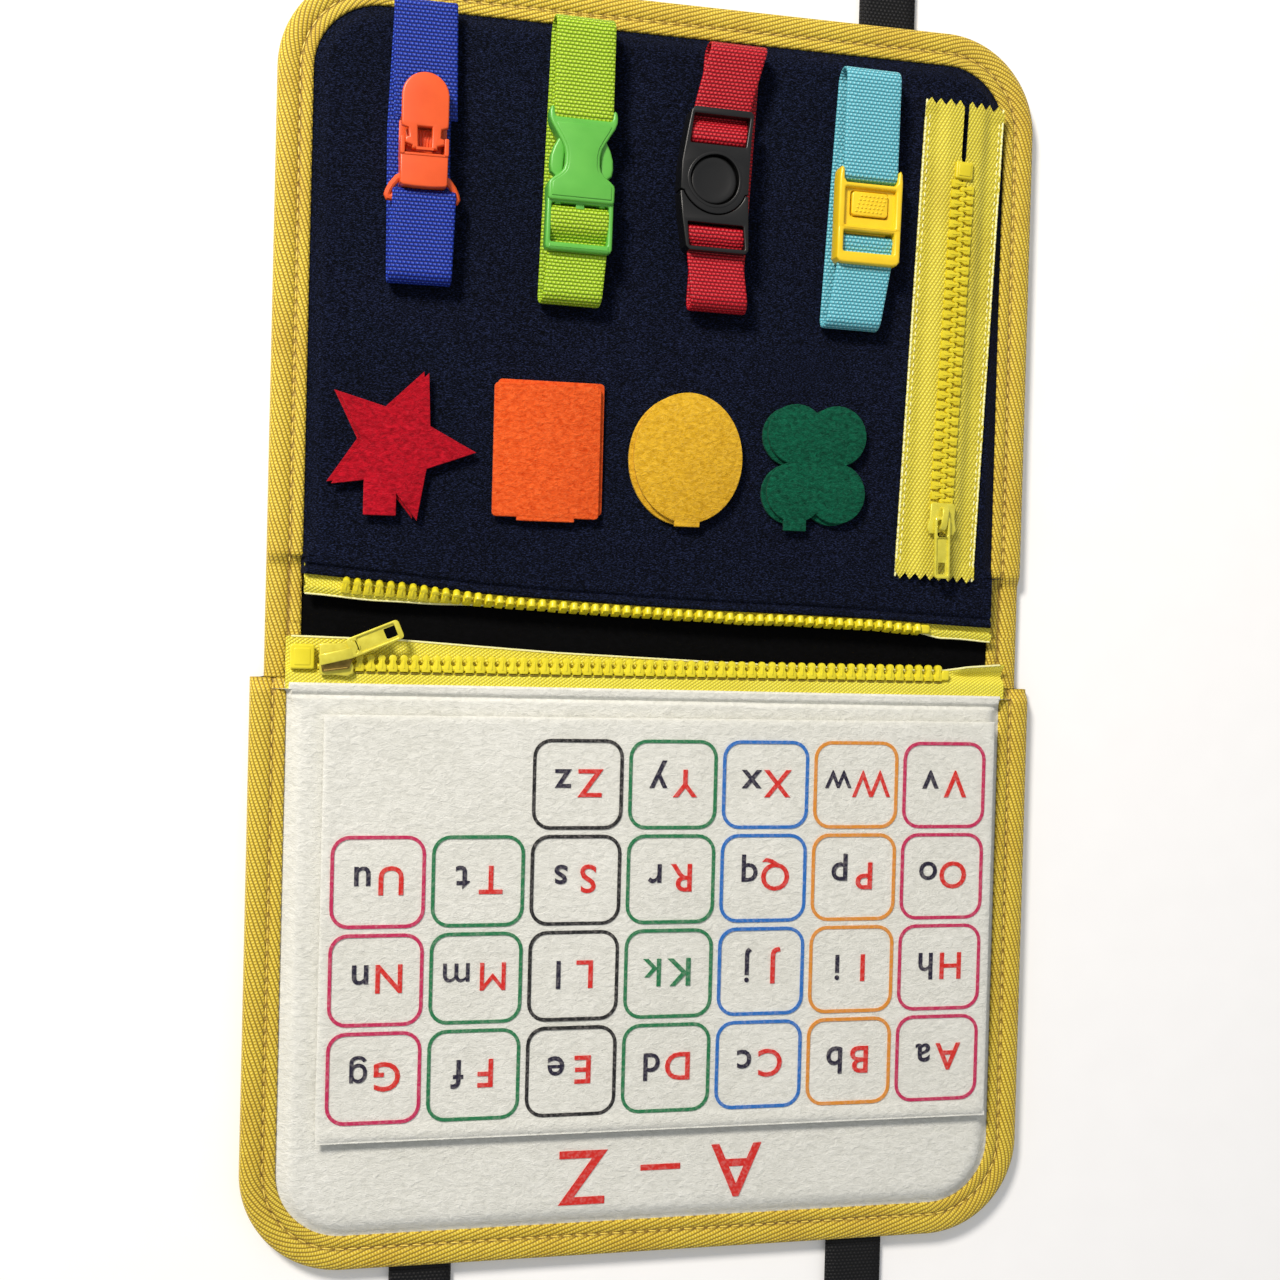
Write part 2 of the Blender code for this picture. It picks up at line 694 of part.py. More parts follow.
# The box clips over both tapes' inner edges
play_box = box("play_box", (-play_box_half, play_box_low, play_mid_height - play_box_half_height),
               (play_box_half, play_box_top, play_mid_height + play_box_half_height))
play_box_object = add_object("play_box", play_box, zip_teeth, cover_axis, play_home)
soften(play_box_object, slider_plate / 2)
box_slit_half = zip_tape_thickness / 2 + clearance
for side, word in ((-1, "left"), (1, "right")):
    edge = closed_half - tape_grip - clearance
    near, far = sorted((side * edge, side * (play_box_half + overrun)))
    groove = box("play_box_groove_" + word, (near, play_box_low - overrun,
                                            play_mid_height - box_slit_half),
                 (far, play_box_top + overrun, play_mid_height + box_slit_half))
    boolean(play_box_object, add_cutter("play_box_groove_" + word, groove, cover_axis, play_home))

play_slider_y = play_box_low - tooth_pitch * (PLAY_TEETH + 1)
play_slider_home = frame_in("play_slider_home", (0, play_slider_y, play_mid_height), play_home,
                            math.radians(180))
zip_slider("play_slider", play_slider_home, play_slider_home, slider_rear_half,
           closed_half + clearance, 0.0)
play_pull_home = frame_in("play_pull_home", (0, 0, pull_bar_height), play_slider_home)
zip_pull("play_pull", play_pull_home)


# Webbing straps: each lies on the page, folds over at both ends and comes back to its buckle
strap_top = 0.2245
tail_start = 0.0020
FOLD_STEPS = 6
lay = clearance + webbing_thickness / 2
webbing_slot_half = webbing_width / 2 + clearance
fillet = 0.0008


def strip(name, path, finish, carrier, home):
    mesh = plate(name, [band(path, webbing_thickness)], -webbing_width / 2, webbing_width / 2, SIDE)
    return add_object(name, mesh, finish, carrier, home)


def fold_over(end, low, high):
    """Half turn of a strip, from its upper layer down to its lower one, round the top end."""
    radius = (high - low) / 2
    return arc(end - radius, low + radius, radius, 90, -90, FOLD_STEPS)


def fold_under(end, low, high):
    """Half turn at the bottom end, from the lower layer up to the upper one."""
    radius = (high - low) / 2
    return arc(end + radius, low + radius, radius, -90, -270, FOLD_STEPS)


def round_bar(bar_y, low, high, side):
    """Half turn of webbing over a bar, down round its +Y (1) or -Y (-1) side and under it."""
    return arc(bar_y, (low + high) / 2, (high - low) / 2 + lay, 90, 90 - side * 180, FOLD_STEPS)


def cross_bar(target, name, start, end, low, high, carrier, home):
    """Leaves a cross bar of a frame its full height only between low and high."""
    for word, bottom, top in (("_under", -webbing_width, low), ("_over", high, webbing_width)):
        cut = box(name + word, (-webbing_slot_half, start, bottom), (webbing_slot_half, end, top))
        boolean(target, add_cutter(name + word, cut, carrier, home))


def scaled(shares, size_x, size_y):
    """An outline from shares of two sizes."""
    return [(x * size_x, y * size_y) for x, y in shares]


# Side-release buckle, green. Its seam with the plug is the assembly's y = 0
green_x = -0.0404
green_y = 0.1570
green_lean = math.radians(-1)
green_low_end = 0.1220
green_bottom = 0.0040
green_thickness = 0.0100
green_half = 0.0129
green_ear_half = 0.0138
green_length = 0.0370
green_shoulder = 0.0095
green_waist_half = 0.0068
green_waist_low = 0.0145
green_waist_high = 0.0205
green_throat = 0.0310
green_bar_y = 0.0344
green_bar_radius = 0.0014
green_cavity_half = 0.0106
green_cavity_depth = 0.0290
green_cavity_height = 0.0058
green_taper_share = 0.62
green_return = 0.0100
green_home = frame_at("green_home", (green_x, green_y, page_top), cover_axis, green_lean)
green_mid = green_bottom + green_thickness / 2
green_plug_home = frame_in("green_plug_home", (0, 0, green_mid), green_home)

socket_right = [(green_half, 0.0), (green_half + fillet / 4, green_shoulder),
                (green_waist_half + fillet, green_waist_low),
                (green_waist_half, (green_waist_low + green_waist_high) / 2),
                (green_waist_half + fillet, green_waist_high),
                (green_ear_half - fillet, green_throat), (green_ear_half, green_bar_y),
                (green_ear_half, green_length), (webbing_slot_half, green_length),
                (webbing_slot_half, green_throat)]
socket_mesh = plate("green_socket", [mirrored(socket_right)], green_bottom,
                    green_bottom + green_thickness)
for corner in socket_mesh.vertices:
    slope = (corner.co.y - green_waist_high) / (green_length - green_waist_high)
    taper = 1 - (1 - green_taper_share) * max(slope, 0.0)
    corner.co.z = green_mid + (corner.co.z - green_mid) * taper
green_socket = add_object("green_socket", socket_mesh, green_plastic, cover_axis, green_home)
soften(green_socket, fillet)
cavity = box("green_cavity", (-green_cavity_half, -overrun, green_mid - green_cavity_height / 2),
             (green_cavity_half, green_cavity_depth, green_mid + green_cavity_height / 2))
boolean(green_socket, add_cutter("green_cavity", cavity, cover_axis, green_home))
green_bar = rod("green_bar", (0, green_bar_y, green_mid), green_bar_radius,
                webbing_slot_half + fillet)
boolean(green_socket, add_cutter("green_bar", green_bar, cover_axis, green_home), "UNION")

# Two springy prongs: their shoulders catch in the side windows that the narrow waist opens
prong_thickness = 0.0050
prong_pivot_x = 0.0085
prong_pivot_y = 0.0005
prong_half_width = 0.0122
prong_length = 0.0270
prong_shares = ((0.59, 0.02), (0.80, 0.02), (0.77, 0.445), (1.0, 0.46), (1.0, 0.62), (0.94, 0.79),
                (0.79, 0.94), (0.66, 1.0), (0.56, 0.95), (0.54, 0.74), (0.59, 0.445))
for side, word in ((-1, "left"), (1, "right")):
    pivot = frame_in("green_prong_axis_" + word, (side * prong_pivot_x, prong_pivot_y, 0),
                     green_plug_home)
    outline = scaled(prong_shares, side * prong_half_width, prong_length)
    mesh = plate("green_prong_" + word, [outline], green_mid - prong_thickness / 2,
                 green_mid + prong_thickness / 2)
    add_object("green_prong_" + word, mesh, green_plastic, pivot, green_home)

green_plug_half = 0.0136
green_plug_length = 0.0190
green_plug_height = 0.0060
green_slot_top = 0.0040
green_slot_end = 0.0160
green_bar_top = 0.0075
green_bar_end = 0.0105
green_bar_low = green_mid - 0.0016
green_bar_high = green_mid + 0.0005
green_end_low = green_mid + 0.0008
tongue_half = 0.0016
tongue_length = 0.0220
green_tail_end = 0.0140
plug_outline = rounded(0.0, -clearance - green_plug_length / 2, green_plug_half,
                       green_plug_length / 2, 2 * fillet, 2)
plug_slots = [rectangle(-webbing_slot_half, -green_bar_top, webbing_slot_half, -green_slot_top),
              rectangle(-webbing_slot_half, -green_slot_end, webbing_slot_half, -green_bar_end)]
plug_high = green_mid + green_plug_height / 2
green_plug = add_object("green_plug",
                        plate("green_plug", [plug_outline] + plug_slots,
                              green_mid - green_plug_height / 2, plug_high),
                        green_plastic, green_plug_home, green_home)
cross_bar(green_plug, "green_end_bar", -green_plug_length - overrun, -green_slot_end + clearance,
          green_end_low, plug_high + overrun, green_plug_home, green_home)
cross_bar(green_plug, "green_middle_bar", -green_bar_end - clearance, -green_bar_top + clearance,
          green_bar_low, green_bar_high, green_plug_home, green_home)
tongue = box("green_tongue", (-tongue_half, -green_slot_top / 2, green_mid - prong_thickness / 2),
             (tongue_half, tongue_length, green_mid + prong_thickness / 2))
boolean(green_plug, add_cutter("green_tongue", tongue, green_plug_home, green_home), "UNION")


def strap_body(name, finish, home, top_y, low_y, high, start):
    """The strap from its buckle end, over its top fold and down its layer on the page."""
    radius = (high - lay) / 2
    path = start + fold_over(strap_top - top_y, lay, high)
    path.append((low_y - top_y + radius + tail_start + clearance, lay))
    return strip(name, path, finish, cover_axis, home)


def strap_tail(name, finish, home, top_y, low_y, high, finish_path, carrier):
    """The strap's lower end: it turns up from the page and is threaded through the plug."""
    end = low_y - top_y
    radius = (high - lay) / 2
    path = [(end + radius + tail_start, lay)] + fold_under(end, lay, high) + finish_path
    return strip(name, path, finish, carrier, home)


green_high = green_mid + green_bar_radius + lay
green_start = [(green_bar_y + green_return, green_mid - green_bar_radius - lay)]
green_start += list(reversed(round_bar(green_bar_y, green_mid - green_bar_radius,
                                       green_mid + green_bar_radius, -1)))
strap_body("green_strap", lime_webbing, green_home, green_y, green_low_end, green_high, green_start)
green_under = green_end_low - lay
green_weave = [(-green_slot_end, green_under), (-green_bar_end, green_bar_high + lay)]
green_weave += round_bar(-green_bar_top, green_bar_low, green_bar_high, 1)
green_weave.append((-green_tail_end, green_bar_low - lay))
# The tail turns up in the same fold as the strap would, so both ends meet on the page
strap_tail("green_tail", lime_webbing, green_home, green_y, green_low_end, green_under,
           green_weave, green_plug_home)


def threaded_bar(bar_low_y, bar_high_y, low, high, side):
    """Webbing over and round a cross bar, from the bar's outer side to the layer under it."""
    inner = bar_low_y if side < 0 else bar_high_y
    outer = bar_high_y if side < 0 else bar_low_y
    return [(outer, high + lay)] + round_bar(inner, low, high, side)


# Centre-release buckle, black. The middle of its round button is the assembly's origin
black_x = 0.0168
black_y = 0.1710
black_lean = math.radians(-1)
black_low_end = 0.1230
black_bottom = 0.0040
black_thickness = 0.0104
black_half = 0.0136
black_top = 0.0270
black_bottom_end = 0.0270
black_corner = 0.0026
black_seam_radius = 0.0130
black_seam_side = 0.0052
black_slot_low = 0.0132
black_slot_high = 0.0243
black_bar_low_y = 0.0162
black_bar_high_y = 0.0186
plug_slot_high = 0.0165
plug_slot_low = 0.0254
plug_bar_high_y = 0.0195
plug_bar_low_y = 0.0219
black_bar_low = 0.0084
black_bar_high = 0.0108
black_end_low = 0.0114
black_cavity_half = 0.0082
black_cavity_back = 0.0110
black_cavity_low = 0.0062
black_cavity_high = 0.0102
black_tongue_high = 0.0084
black_tongue_back = 0.0090
black_button_radius = 0.0093
black_button_top = 0.0129
black_button_foot = 0.0106
black_press = 0.0018
black_return = 0.0300
ROUND_STEPS = 28
SEAM_STEPS = 12
black_home = frame_at("black_home", (black_x, black_y, page_top), cover_axis, black_lean)
black_plug_home = frame_in("black_plug_home", (0, 0, black_bottom), black_home)
black_button_home = frame_in("black_button_home", (0, 0, black_button_foot), black_home)

seam_angle = math.degrees(math.asin(black_seam_side / black_seam_radius))
seam = arc(0.0, 0.0, black_seam_radius, -180 + seam_angle, -seam_angle, SEAM_STEPS)
socket_side = [(black_half, -black_seam_side + fillet), (black_half, black_top - black_corner),
               (black_half - black_corner, black_top)]
socket_outline = seam + socket_side + [(-x, y) for x, y in reversed(socket_side)]
black_ceiling = black_bottom + black_thickness
slot_bar = [rectangle(-webbing_slot_half, black_slot_low, webbing_slot_half, black_bar_low_y),
            rectangle(-webbing_slot_half, black_bar_high_y, webbing_slot_half, black_slot_high)]
black_socket = add_object("black_socket",
                          plate("black_socket", [socket_outline] + slot_bar, black_bottom,
                                black_ceiling), black_plastic, cover_axis, black_home)
cross_bar(black_socket, "black_middle_bar", black_bar_low_y - clearance,
          black_bar_high_y + clearance, black_bar_low, black_bar_high, cover_axis, black_home)
cross_bar(black_socket, "black_end_bar", black_slot_high - clearance, black_top + overrun,
          black_end_low, black_ceiling + overrun, cover_axis, black_home)
cavity = box("black_cavity", (-black_cavity_half, -black_seam_radius - overrun, black_cavity_low),
             (black_cavity_half, black_cavity_back, black_cavity_high))
boolean(black_socket, add_cutter("black_cavity", cavity, cover_axis, black_home))
well_low = black_button_foot - black_press - clearance
well_half = (black_ceiling + overrun - well_low) / 2
well = rod("black_well", (0, 0, well_low + well_half),
           black_button_radius + clearance, well_half, "Z", ROUND_STEPS)
boolean(black_socket, add_cutter("black_well", well, cover_axis, black_home))

button_half = (black_button_top - black_button_foot) / 2
button = rod("black_button", (0, 0, black_button_foot + button_half), black_button_radius,
             button_half, "Z", ROUND_STEPS)
soften(add_object("black_button", button, black_plastic, black_button_home, black_home),
       fillet / 2)

plug_seam_radius = black_seam_radius + clearance
plug_seam_side = black_seam_side + clearance
plug_seam_angle = math.degrees(math.asin(plug_seam_side / plug_seam_radius))
plug_seam = arc(0.0, 0.0, plug_seam_radius, -180 + plug_seam_angle, -plug_seam_angle, SEAM_STEPS)
plug_side = [(black_half, -black_bottom_end + black_corner),
             (black_half - black_corner, -black_bottom_end)]
plug_outline = plug_seam + [(black_half, -plug_seam_side)] + plug_side
plug_outline += [(-x, y) for x, y in reversed(plug_side)] + [(-black_half, -plug_seam_side)]
plug_slots = [rectangle(-webbing_slot_half, -plug_slot_low, webbing_slot_half, -plug_bar_low_y),
              rectangle(-webbing_slot_half, -plug_bar_high_y, webbing_slot_half, -plug_slot_high)]
black_plug = add_object("black_plug",
                        plate("black_plug", [plug_outline] + plug_slots, black_bottom,
                              black_ceiling), black_plastic, black_plug_home, black_home)
cross_bar(black_plug, "plug_middle_bar", -plug_bar_low_y - clearance,
          -plug_bar_high_y + clearance, black_bar_low, black_bar_high, black_plug_home, black_home)
cross_bar(black_plug, "plug_end_bar", -black_bottom_end - overrun, -plug_slot_low + clearance,
          black_end_low, black_ceiling + overrun, black_plug_home, black_home)
tongue = box("black_tongue",
             (-black_cavity_half + clearance, -(plug_seam_radius + plug_slot_high) / 2,
              black_cavity_low + clearance),
             (black_cavity_half - clearance, black_tongue_back, black_tongue_high))
boolean(black_plug, add_cutter("black_tongue", tongue, black_plug_home, black_home), "UNION")

black_high = black_end_low - lay
red_start = [(black_return, black_bar_low - lay)]
red_start += list(reversed(threaded_bar(black_bar_low_y, black_bar_high_y, black_bar_low,
                                        black_bar_high, -1)))
red_start.append((black_slot_high, black_high))
strap_body("red_strap", red_webbing, black_home, black_y, black_low_end, black_high, red_start)
red_weave = [(-plug_slot_low, black_high)]
red_weave += threaded_bar(-plug_bar_low_y, -plug_bar_high_y, black_bar_low, black_bar_high, 1)
red_weave.append((-black_return, black_bar_low - lay))
strap_tail("red_tail", red_webbing, black_home, black_y, black_low_end, black_high, red_weave,
           black_plug_home)


# Small push-button buckle, yellow. Its seam with the plug is the assembly's y = 0
yellow_x = 0.0708
yellow_y = 0.1580
yellow_lean = math.radians(-1)
yellow_low_end = 0.1200
yellow_bottom = 0.0040
yellow_thickness = 0.0080
yellow_half = 0.0136
yellow_body_end = 0.0172
yellow_ear_end = 0.0232
yellow_bar_y = 0.0210
yellow_bar_radius = 0.0012
yellow_return = 0.0100
yellow_button_half = 0.0073
yellow_button_middle = 0.0096
yellow_button_half_length = 0.0059
yellow_button_corner = 0.0012
yellow_button_foot = 0.0089
yellow_press = 0.0012
yellow_button_top = 0.0112
yellow_cavity_half = 0.0090
yellow_cavity_back = 0.0150
yellow_cavity_low = 0.0054
yellow_cavity_high = 0.0086
yellow_tongue_high = 0.0074
yellow_tongue_back = 0.0140
yellow_plug_end = 0.0143
yellow_slot_high = 0.0026
yellow_slot_low = 0.0120
yellow_plug_bar_high_y = 0.0055
yellow_plug_bar_low_y = 0.0075
yellow_bar_low = 0.0056
yellow_bar_high = 0.0076
yellow_end_low = 0.0090
yellow_home = frame_at("yellow_home", (yellow_x, yellow_y, page_top), cover_axis, yellow_lean)
yellow_plug_home = frame_in("yellow_plug_home", (0, 0, yellow_bottom), yellow_home)
yellow_button_home = frame_in("yellow_button_home", (0, 0, yellow_button_foot), yellow_home)

yellow_ceiling = yellow_bottom + yellow_thickness
yellow_right = [(yellow_half, clearance / 2), (yellow_half, yellow_ear_end - fillet),
                (yellow_half - fillet, yellow_ear_end), (webbing_slot_half, yellow_ear_end),
                (webbing_slot_half, yellow_body_end)]
yellow_socket = add_object("yellow_socket",
                           plate("yellow_socket", [mirrored(yellow_right)], yellow_bottom,
                                 yellow_ceiling), yellow_plastic, cover_axis, yellow_home)
soften(yellow_socket, fillet / 2)
cavity = box("yellow_cavity", (-yellow_cavity_half, -overrun, yellow_cavity_low),
             (yellow_cavity_half, yellow_cavity_back, yellow_cavity_high))
boolean(yellow_socket, add_cutter("yellow_cavity", cavity, cover_axis, yellow_home))
window = plate("yellow_window",
               [rounded(0.0, yellow_button_middle, yellow_button_half + clearance,
                        yellow_button_half_length + clearance, yellow_button_corner + clearance)],
               yellow_button_foot - yellow_press - clearance, yellow_ceiling + overrun)
boolean(yellow_socket, add_cutter("yellow_window", window, cover_axis, yellow_home))
yellow_bar_z = yellow_bottom + yellow_thickness / 2
yellow_bar = rod("yellow_bar", (0, yellow_bar_y, yellow_bar_z), yellow_bar_radius,
                 webbing_slot_half + fillet)
boolean(yellow_socket, add_cutter("yellow_bar", yellow_bar, cover_axis, yellow_home), "UNION")
yellow_button = plate("yellow_button",
                      [rounded(0.0, yellow_button_middle, yellow_button_half,
                               yellow_button_half_length, yellow_button_corner)],
                      yellow_button_foot, yellow_button_top)
soften(add_object("yellow_button", yellow_button, yellow_plastic, yellow_button_home, yellow_home),
       fillet / 2)

yellow_plug_half_outline = [(yellow_half - 2 * fillet, -yellow_plug_end),
                            (yellow_half, -yellow_plug_end + 2 * fillet),
                            (yellow_half, -clearance / 2)]
yellow_slots = [rectangle(-webbing_slot_half, -yellow_slot_low, webbing_slot_half,
                          -yellow_plug_bar_low_y),
                rectangle(-webbing_slot_half, -yellow_plug_bar_high_y, webbing_slot_half,
                          -yellow_slot_high)]
yellow_plug = add_object("yellow_plug",
                         plate("yellow_plug", [mirrored(yellow_plug_half_outline)] + yellow_slots,
                               yellow_bottom, yellow_ceiling),
                         yellow_plastic, yellow_plug_home, yellow_home)
cross_bar(yellow_plug, "yellow_middle_bar", -yellow_plug_bar_low_y - clearance,
          -yellow_plug_bar_high_y + clearance, yellow_bar_low, yellow_bar_high, yellow_plug_home,
          yellow_home)
cross_bar(yellow_plug, "yellow_end_bar", -yellow_plug_end - overrun, -yellow_slot_low + clearance,
          yellow_end_low, yellow_ceiling + overrun, yellow_plug_home, yellow_home)
tongue = box("yellow_tongue",
             (-yellow_cavity_half + clearance, -yellow_slot_high / 2, yellow_cavity_low + clearance),
             (yellow_cavity_half - clearance, yellow_tongue_back, yellow_tongue_high))
boolean(yellow_plug, add_cutter("yellow_tongue", tongue, yellow_plug_home, yellow_home), "UNION")

yellow_wrap_low = yellow_bar_z - yellow_bar_radius
yellow_wrap_high = yellow_bar_z + yellow_bar_radius
sky_start = [(yellow_bar_y + yellow_return, yellow_wrap_low - lay)]
sky_start += list(reversed(round_bar(yellow_bar_y, yellow_wrap_low, yellow_wrap_high, -1)))
strap_body("sky_strap", sky_webbing, yellow_home, yellow_y, yellow_low_end, yellow_wrap_high + lay,
           sky_start)
yellow_under = yellow_end_low - lay
sky_weave = [(-yellow_slot_low, yellow_under)]
sky_weave += threaded_bar(-yellow_plug_bar_low_y, -yellow_plug_bar_high_y, yellow_bar_low,
                          yellow_bar_high, 1)
sky_weave.append((-yellow_slot_low, yellow_bar_low - lay))
strap_tail("sky_tail", sky_webbing, yellow_home, yellow_y, yellow_low_end, yellow_under, sky_weave,
           yellow_plug_home)


# Lever clip, orange. The edge of its fixed block is the assembly's y = 0
clip_x = -0.0980
clip_y = 0.1710
clip_low_end = 0.1260
clip_half = 0.0092
clip_base_half = 0.0085
clip_bottom = 0.0030
clip_plate = 0.0018
clip_plate_end = 0.0270
clip_block_length = 0.0150
clip_block_top = 0.0118
clip_block_gap = 0.0008
pivot_y = 0.0019
pivot_z = 0.0099
pin_radius = 0.0011
ear_inner = 0.0070
ear_thickness = 0.0016
ear_radius = 0.0026
lug_inner = 0.0034
lug_outer = 0.0064
lug_radius = 0.0017
lever_start = 0.0022
lever_end = 0.0290
lever_bottom = 0.0102
lever_thickness = 0.0024
lever_corner = 0.0060
lever_window_half = 0.0031
lever_window_end = 0.0105
lever_notch_end = 0.0080
jaw_start = 0.0020
jaw_half = ear_inner - clearance
jaw_bottom = 0.0069
jaw_thickness = 0.0007
jaw_ridge = 0.0003
JAW_RIDGES = 6
jaw_pivot_y = 0.0008
jaw_pivot_z = 0.0071
clip_free_end = 0.0100
loop_wire = 0.0013
loop_foot_half = 0.0085
loop_half = 0.0142
loop_start = 0.0090
loop_bar_y = 0.0182
loop_height = 0.0065
loop_return = 0.0098
clip_home = frame_at("clip_home", (clip_x, clip_y, page_top), cover_axis)
lever_home = frame_in("lever_home", (0, pivot_y, pivot_z), clip_home)
jaw_home = frame_in("jaw_home", (0, jaw_pivot_y, jaw_pivot_z), clip_home)


def wire(name, points, radius):
    """A bent wire as a mesh, with its ends closed."""
    curve = bpy.data.curves.new(name, "CURVE")
    curve.dimensions = "3D"
    curve.bevel_depth = radius
    curve.bevel_resolution = 2
    curve.use_fill_caps = True
    spline = curve.splines.new("POLY")
    spline.points.add(len(points) - 1)
    for point, place in zip(spline.points, points):
        point.co = (*place, 1.0)
    holder = bpy.data.objects.new(name, curve)
    bpy.context.scene.collection.objects.link(holder)
    bpy.context.view_layer.update()
    graph = bpy.context.evaluated_depsgraph_get()
    mesh = bpy.data.meshes.new_from_object(holder.evaluated_get(graph))
    bpy.data.objects.remove(holder, do_unlink=True)
    bpy.data.curves.remove(curve)
    return finish_mesh(mesh)


block = box("clip_base", (-clip_half, -clip_block_length, clip_bottom),
            (clip_half, -clip_block_gap, clip_block_top))
clip_base = add_object("clip_base", block, orange_plastic, cover_axis, clip_home)
soften(clip_base, fillet)
base_plate = box("clip_plate", (-clip_base_half, -clip_block_length / 2, clip_bottom + fillet / 4),
                 (clip_base_half, clip_plate_end, clip_bottom + clip_plate))
boolean(clip_base, add_cutter("clip_plate", base_plate, cover_axis, clip_home), "UNION")
for side, word in ((-1, "left"), (1, "right")):
    near, far = sorted((side * ear_inner, side * (ear_inner + ear_thickness)))
    ear_outline = [(-clip_block_gap - fillet, clip_bottom + clip_plate / 2),
                   (pivot_y + ear_radius, clip_bottom + clip_plate / 2)]
    ear_outline += arc(pivot_y, pivot_z, ear_radius, 0, 180, 2 * FOLD_STEPS)
    hole = arc(pivot_y, pivot_z, pin_radius + clearance, 0, 360, 2 * FOLD_STEPS)[:-1]
    ear = plate("clip_ear_" + word, [ear_outline, hole], near, far, SIDE)
    boolean(clip_base, add_cutter("clip_ear_" + word, ear, cover_axis, clip_home), "UNION")
loop_right = [(loop_foot_half - fillet, -loop_start + fillet), (loop_foot_half, -loop_start),
              (loop_half - loop_wire, -(loop_start + loop_bar_y) / 2),
              (loop_half, -loop_bar_y + loop_wire), (loop_half - loop_wire / 2, -loop_bar_y)]
loop_points = loop_right + [(-x, y) for x, y in reversed(loop_right)]
loop = wire("clip_loop", [(x, y, loop_height) for x, y in loop_points], loop_wire)
boolean(clip_base, add_cutter("clip_loop", loop, cover_axis, clip_home), "UNION")

lever_low = pivot_y + lever_start
lever_right = [(lever_window_half, lever_window_end), (lever_window_half, lever_low),
               (ear_inner - clearance, lever_low), (ear_inner - clearance, lever_notch_end),
               (clip_half, lever_notch_end + fillet)]
lever_right += arc(clip_half - lever_corner, lever_end - lever_corner, lever_corner, 0, 90, 4)
clip_lever = add_object("clip_lever",
                        plate("clip_lever", [mirrored(lever_right)], lever_bottom,
                              lever_bottom + lever_thickness),
                        orange_plastic, lever_home, clip_home)
for side, word in ((-1, "left"), (1, "right")):
    near, far = sorted((side * lug_inner, side * lug_outer))
    lug_outline = arc(pivot_y, pivot_z, lug_radius, 90, 300, 2 * FOLD_STEPS)
    lug_outline += [(lever_low + fillet, lever_bottom + fillet / 2),
                    (lever_low + fillet, lever_bottom + lever_thickness - fillet / 2)]
    lug = plate("lever_lug_" + word, [lug_outline], near, far, SIDE)
    boolean(clip_lever, add_cutter("lever_lug_" + word, lug, lever_home, clip_home), "UNION")
pin = rod("lever_pin", (0, pivot_y, pivot_z), pin_radius, ear_inner + ear_thickness - fillet / 4)
boolean(clip_lever, add_cutter("lever_pin", pin, lever_home, clip_home), "UNION")

jaw_end = clip_plate_end - clearance
jaw_step = (jaw_end - jaw_start) / JAW_RIDGES
jaw_profile = [(jaw_start, jaw_bottom + jaw_thickness)]
for ridge in range(JAW_RIDGES):
    jaw_profile.append((jaw_start + jaw_step * ridge, jaw_bottom))
    jaw_profile.append((jaw_start + jaw_step * (ridge + 1) - jaw_ridge, jaw_bottom - jaw_ridge))
jaw_profile.append((jaw_end, jaw_bottom))
jaw_profile.append((jaw_end, jaw_bottom + jaw_thickness))
add_object("clip_jaw", plate("clip_jaw", [jaw_profile], -jaw_half, jaw_half, SIDE), orange_plastic,
           jaw_home, clip_home)

# The blue strap: gripped in the clip, folded over above it, and round the clip's wire loop below
clip_high = clip_bottom + clip_plate + lay
loop_high = loop_height + loop_wire + lay
blue_path = [(clip_free_end, clip_high)] + fold_over(strap_top - clip_y, lay, clip_high)
blue_path += fold_under(clip_low_end - clip_y, lay, loop_high)
blue_path += round_bar(-loop_bar_y, loop_height - loop_wire, loop_height + loop_wire, 1)
blue_path.append((-loop_bar_y - loop_return, loop_height - loop_wire - lay))
strip("blue_strap", blue_path, blue_webbing, cover_axis, clip_home)


# Lift-up felt shapes: a layer sewn to the page and a flap over it, folded at a tab
felt_layer = 0.0017
felt_low = clearance
flap_low = felt_low + felt_layer + clearance
tab_end = 0.0402
felt_offset = 0.0016


def star_outline(centre_x, centre_y, radius, turn):
    points = []
    waist_share = 0.47
    for corner in range(10):
        reach = radius if corner % 2 == 0 else radius * waist_share
        angle = math.radians(turn + 36 * corner)
        points.append((centre_x + reach * math.cos(angle), centre_y + reach * math.sin(angle)))
    return points


def oval_outline(centre_x, centre_y, half_x, half_y, steps):
    return [(centre_x + half_x * x, centre_y + half_y * y)
            for x, y in arc(0.0, 0.0, 1, 0, 360, steps)[:-1]]


def clover_outline(centre_x, centre_y, reach_x, reach_y, radius, steps):
    """Four round lobes, each an arc from the waist at its side to the notch above or below."""
    waist = math.degrees(math.atan2(-reach_y, math.sqrt(radius ** 2 - reach_y ** 2)))
    notch = math.degrees(math.atan2(math.sqrt(radius ** 2 - reach_x ** 2), -reach_x))
    lobe = arc(reach_x, reach_y, radius, waist, notch, steps)
    points = lobe + [(-x, y) for x, y in reversed(lobe[:-1])]
    points += [(-x, -y) for x, y in lobe[1:]] + [(x, -y) for x, y in reversed(lobe[1:-1])]
    return [(centre_x + x, centre_y + y) for x, y in points]


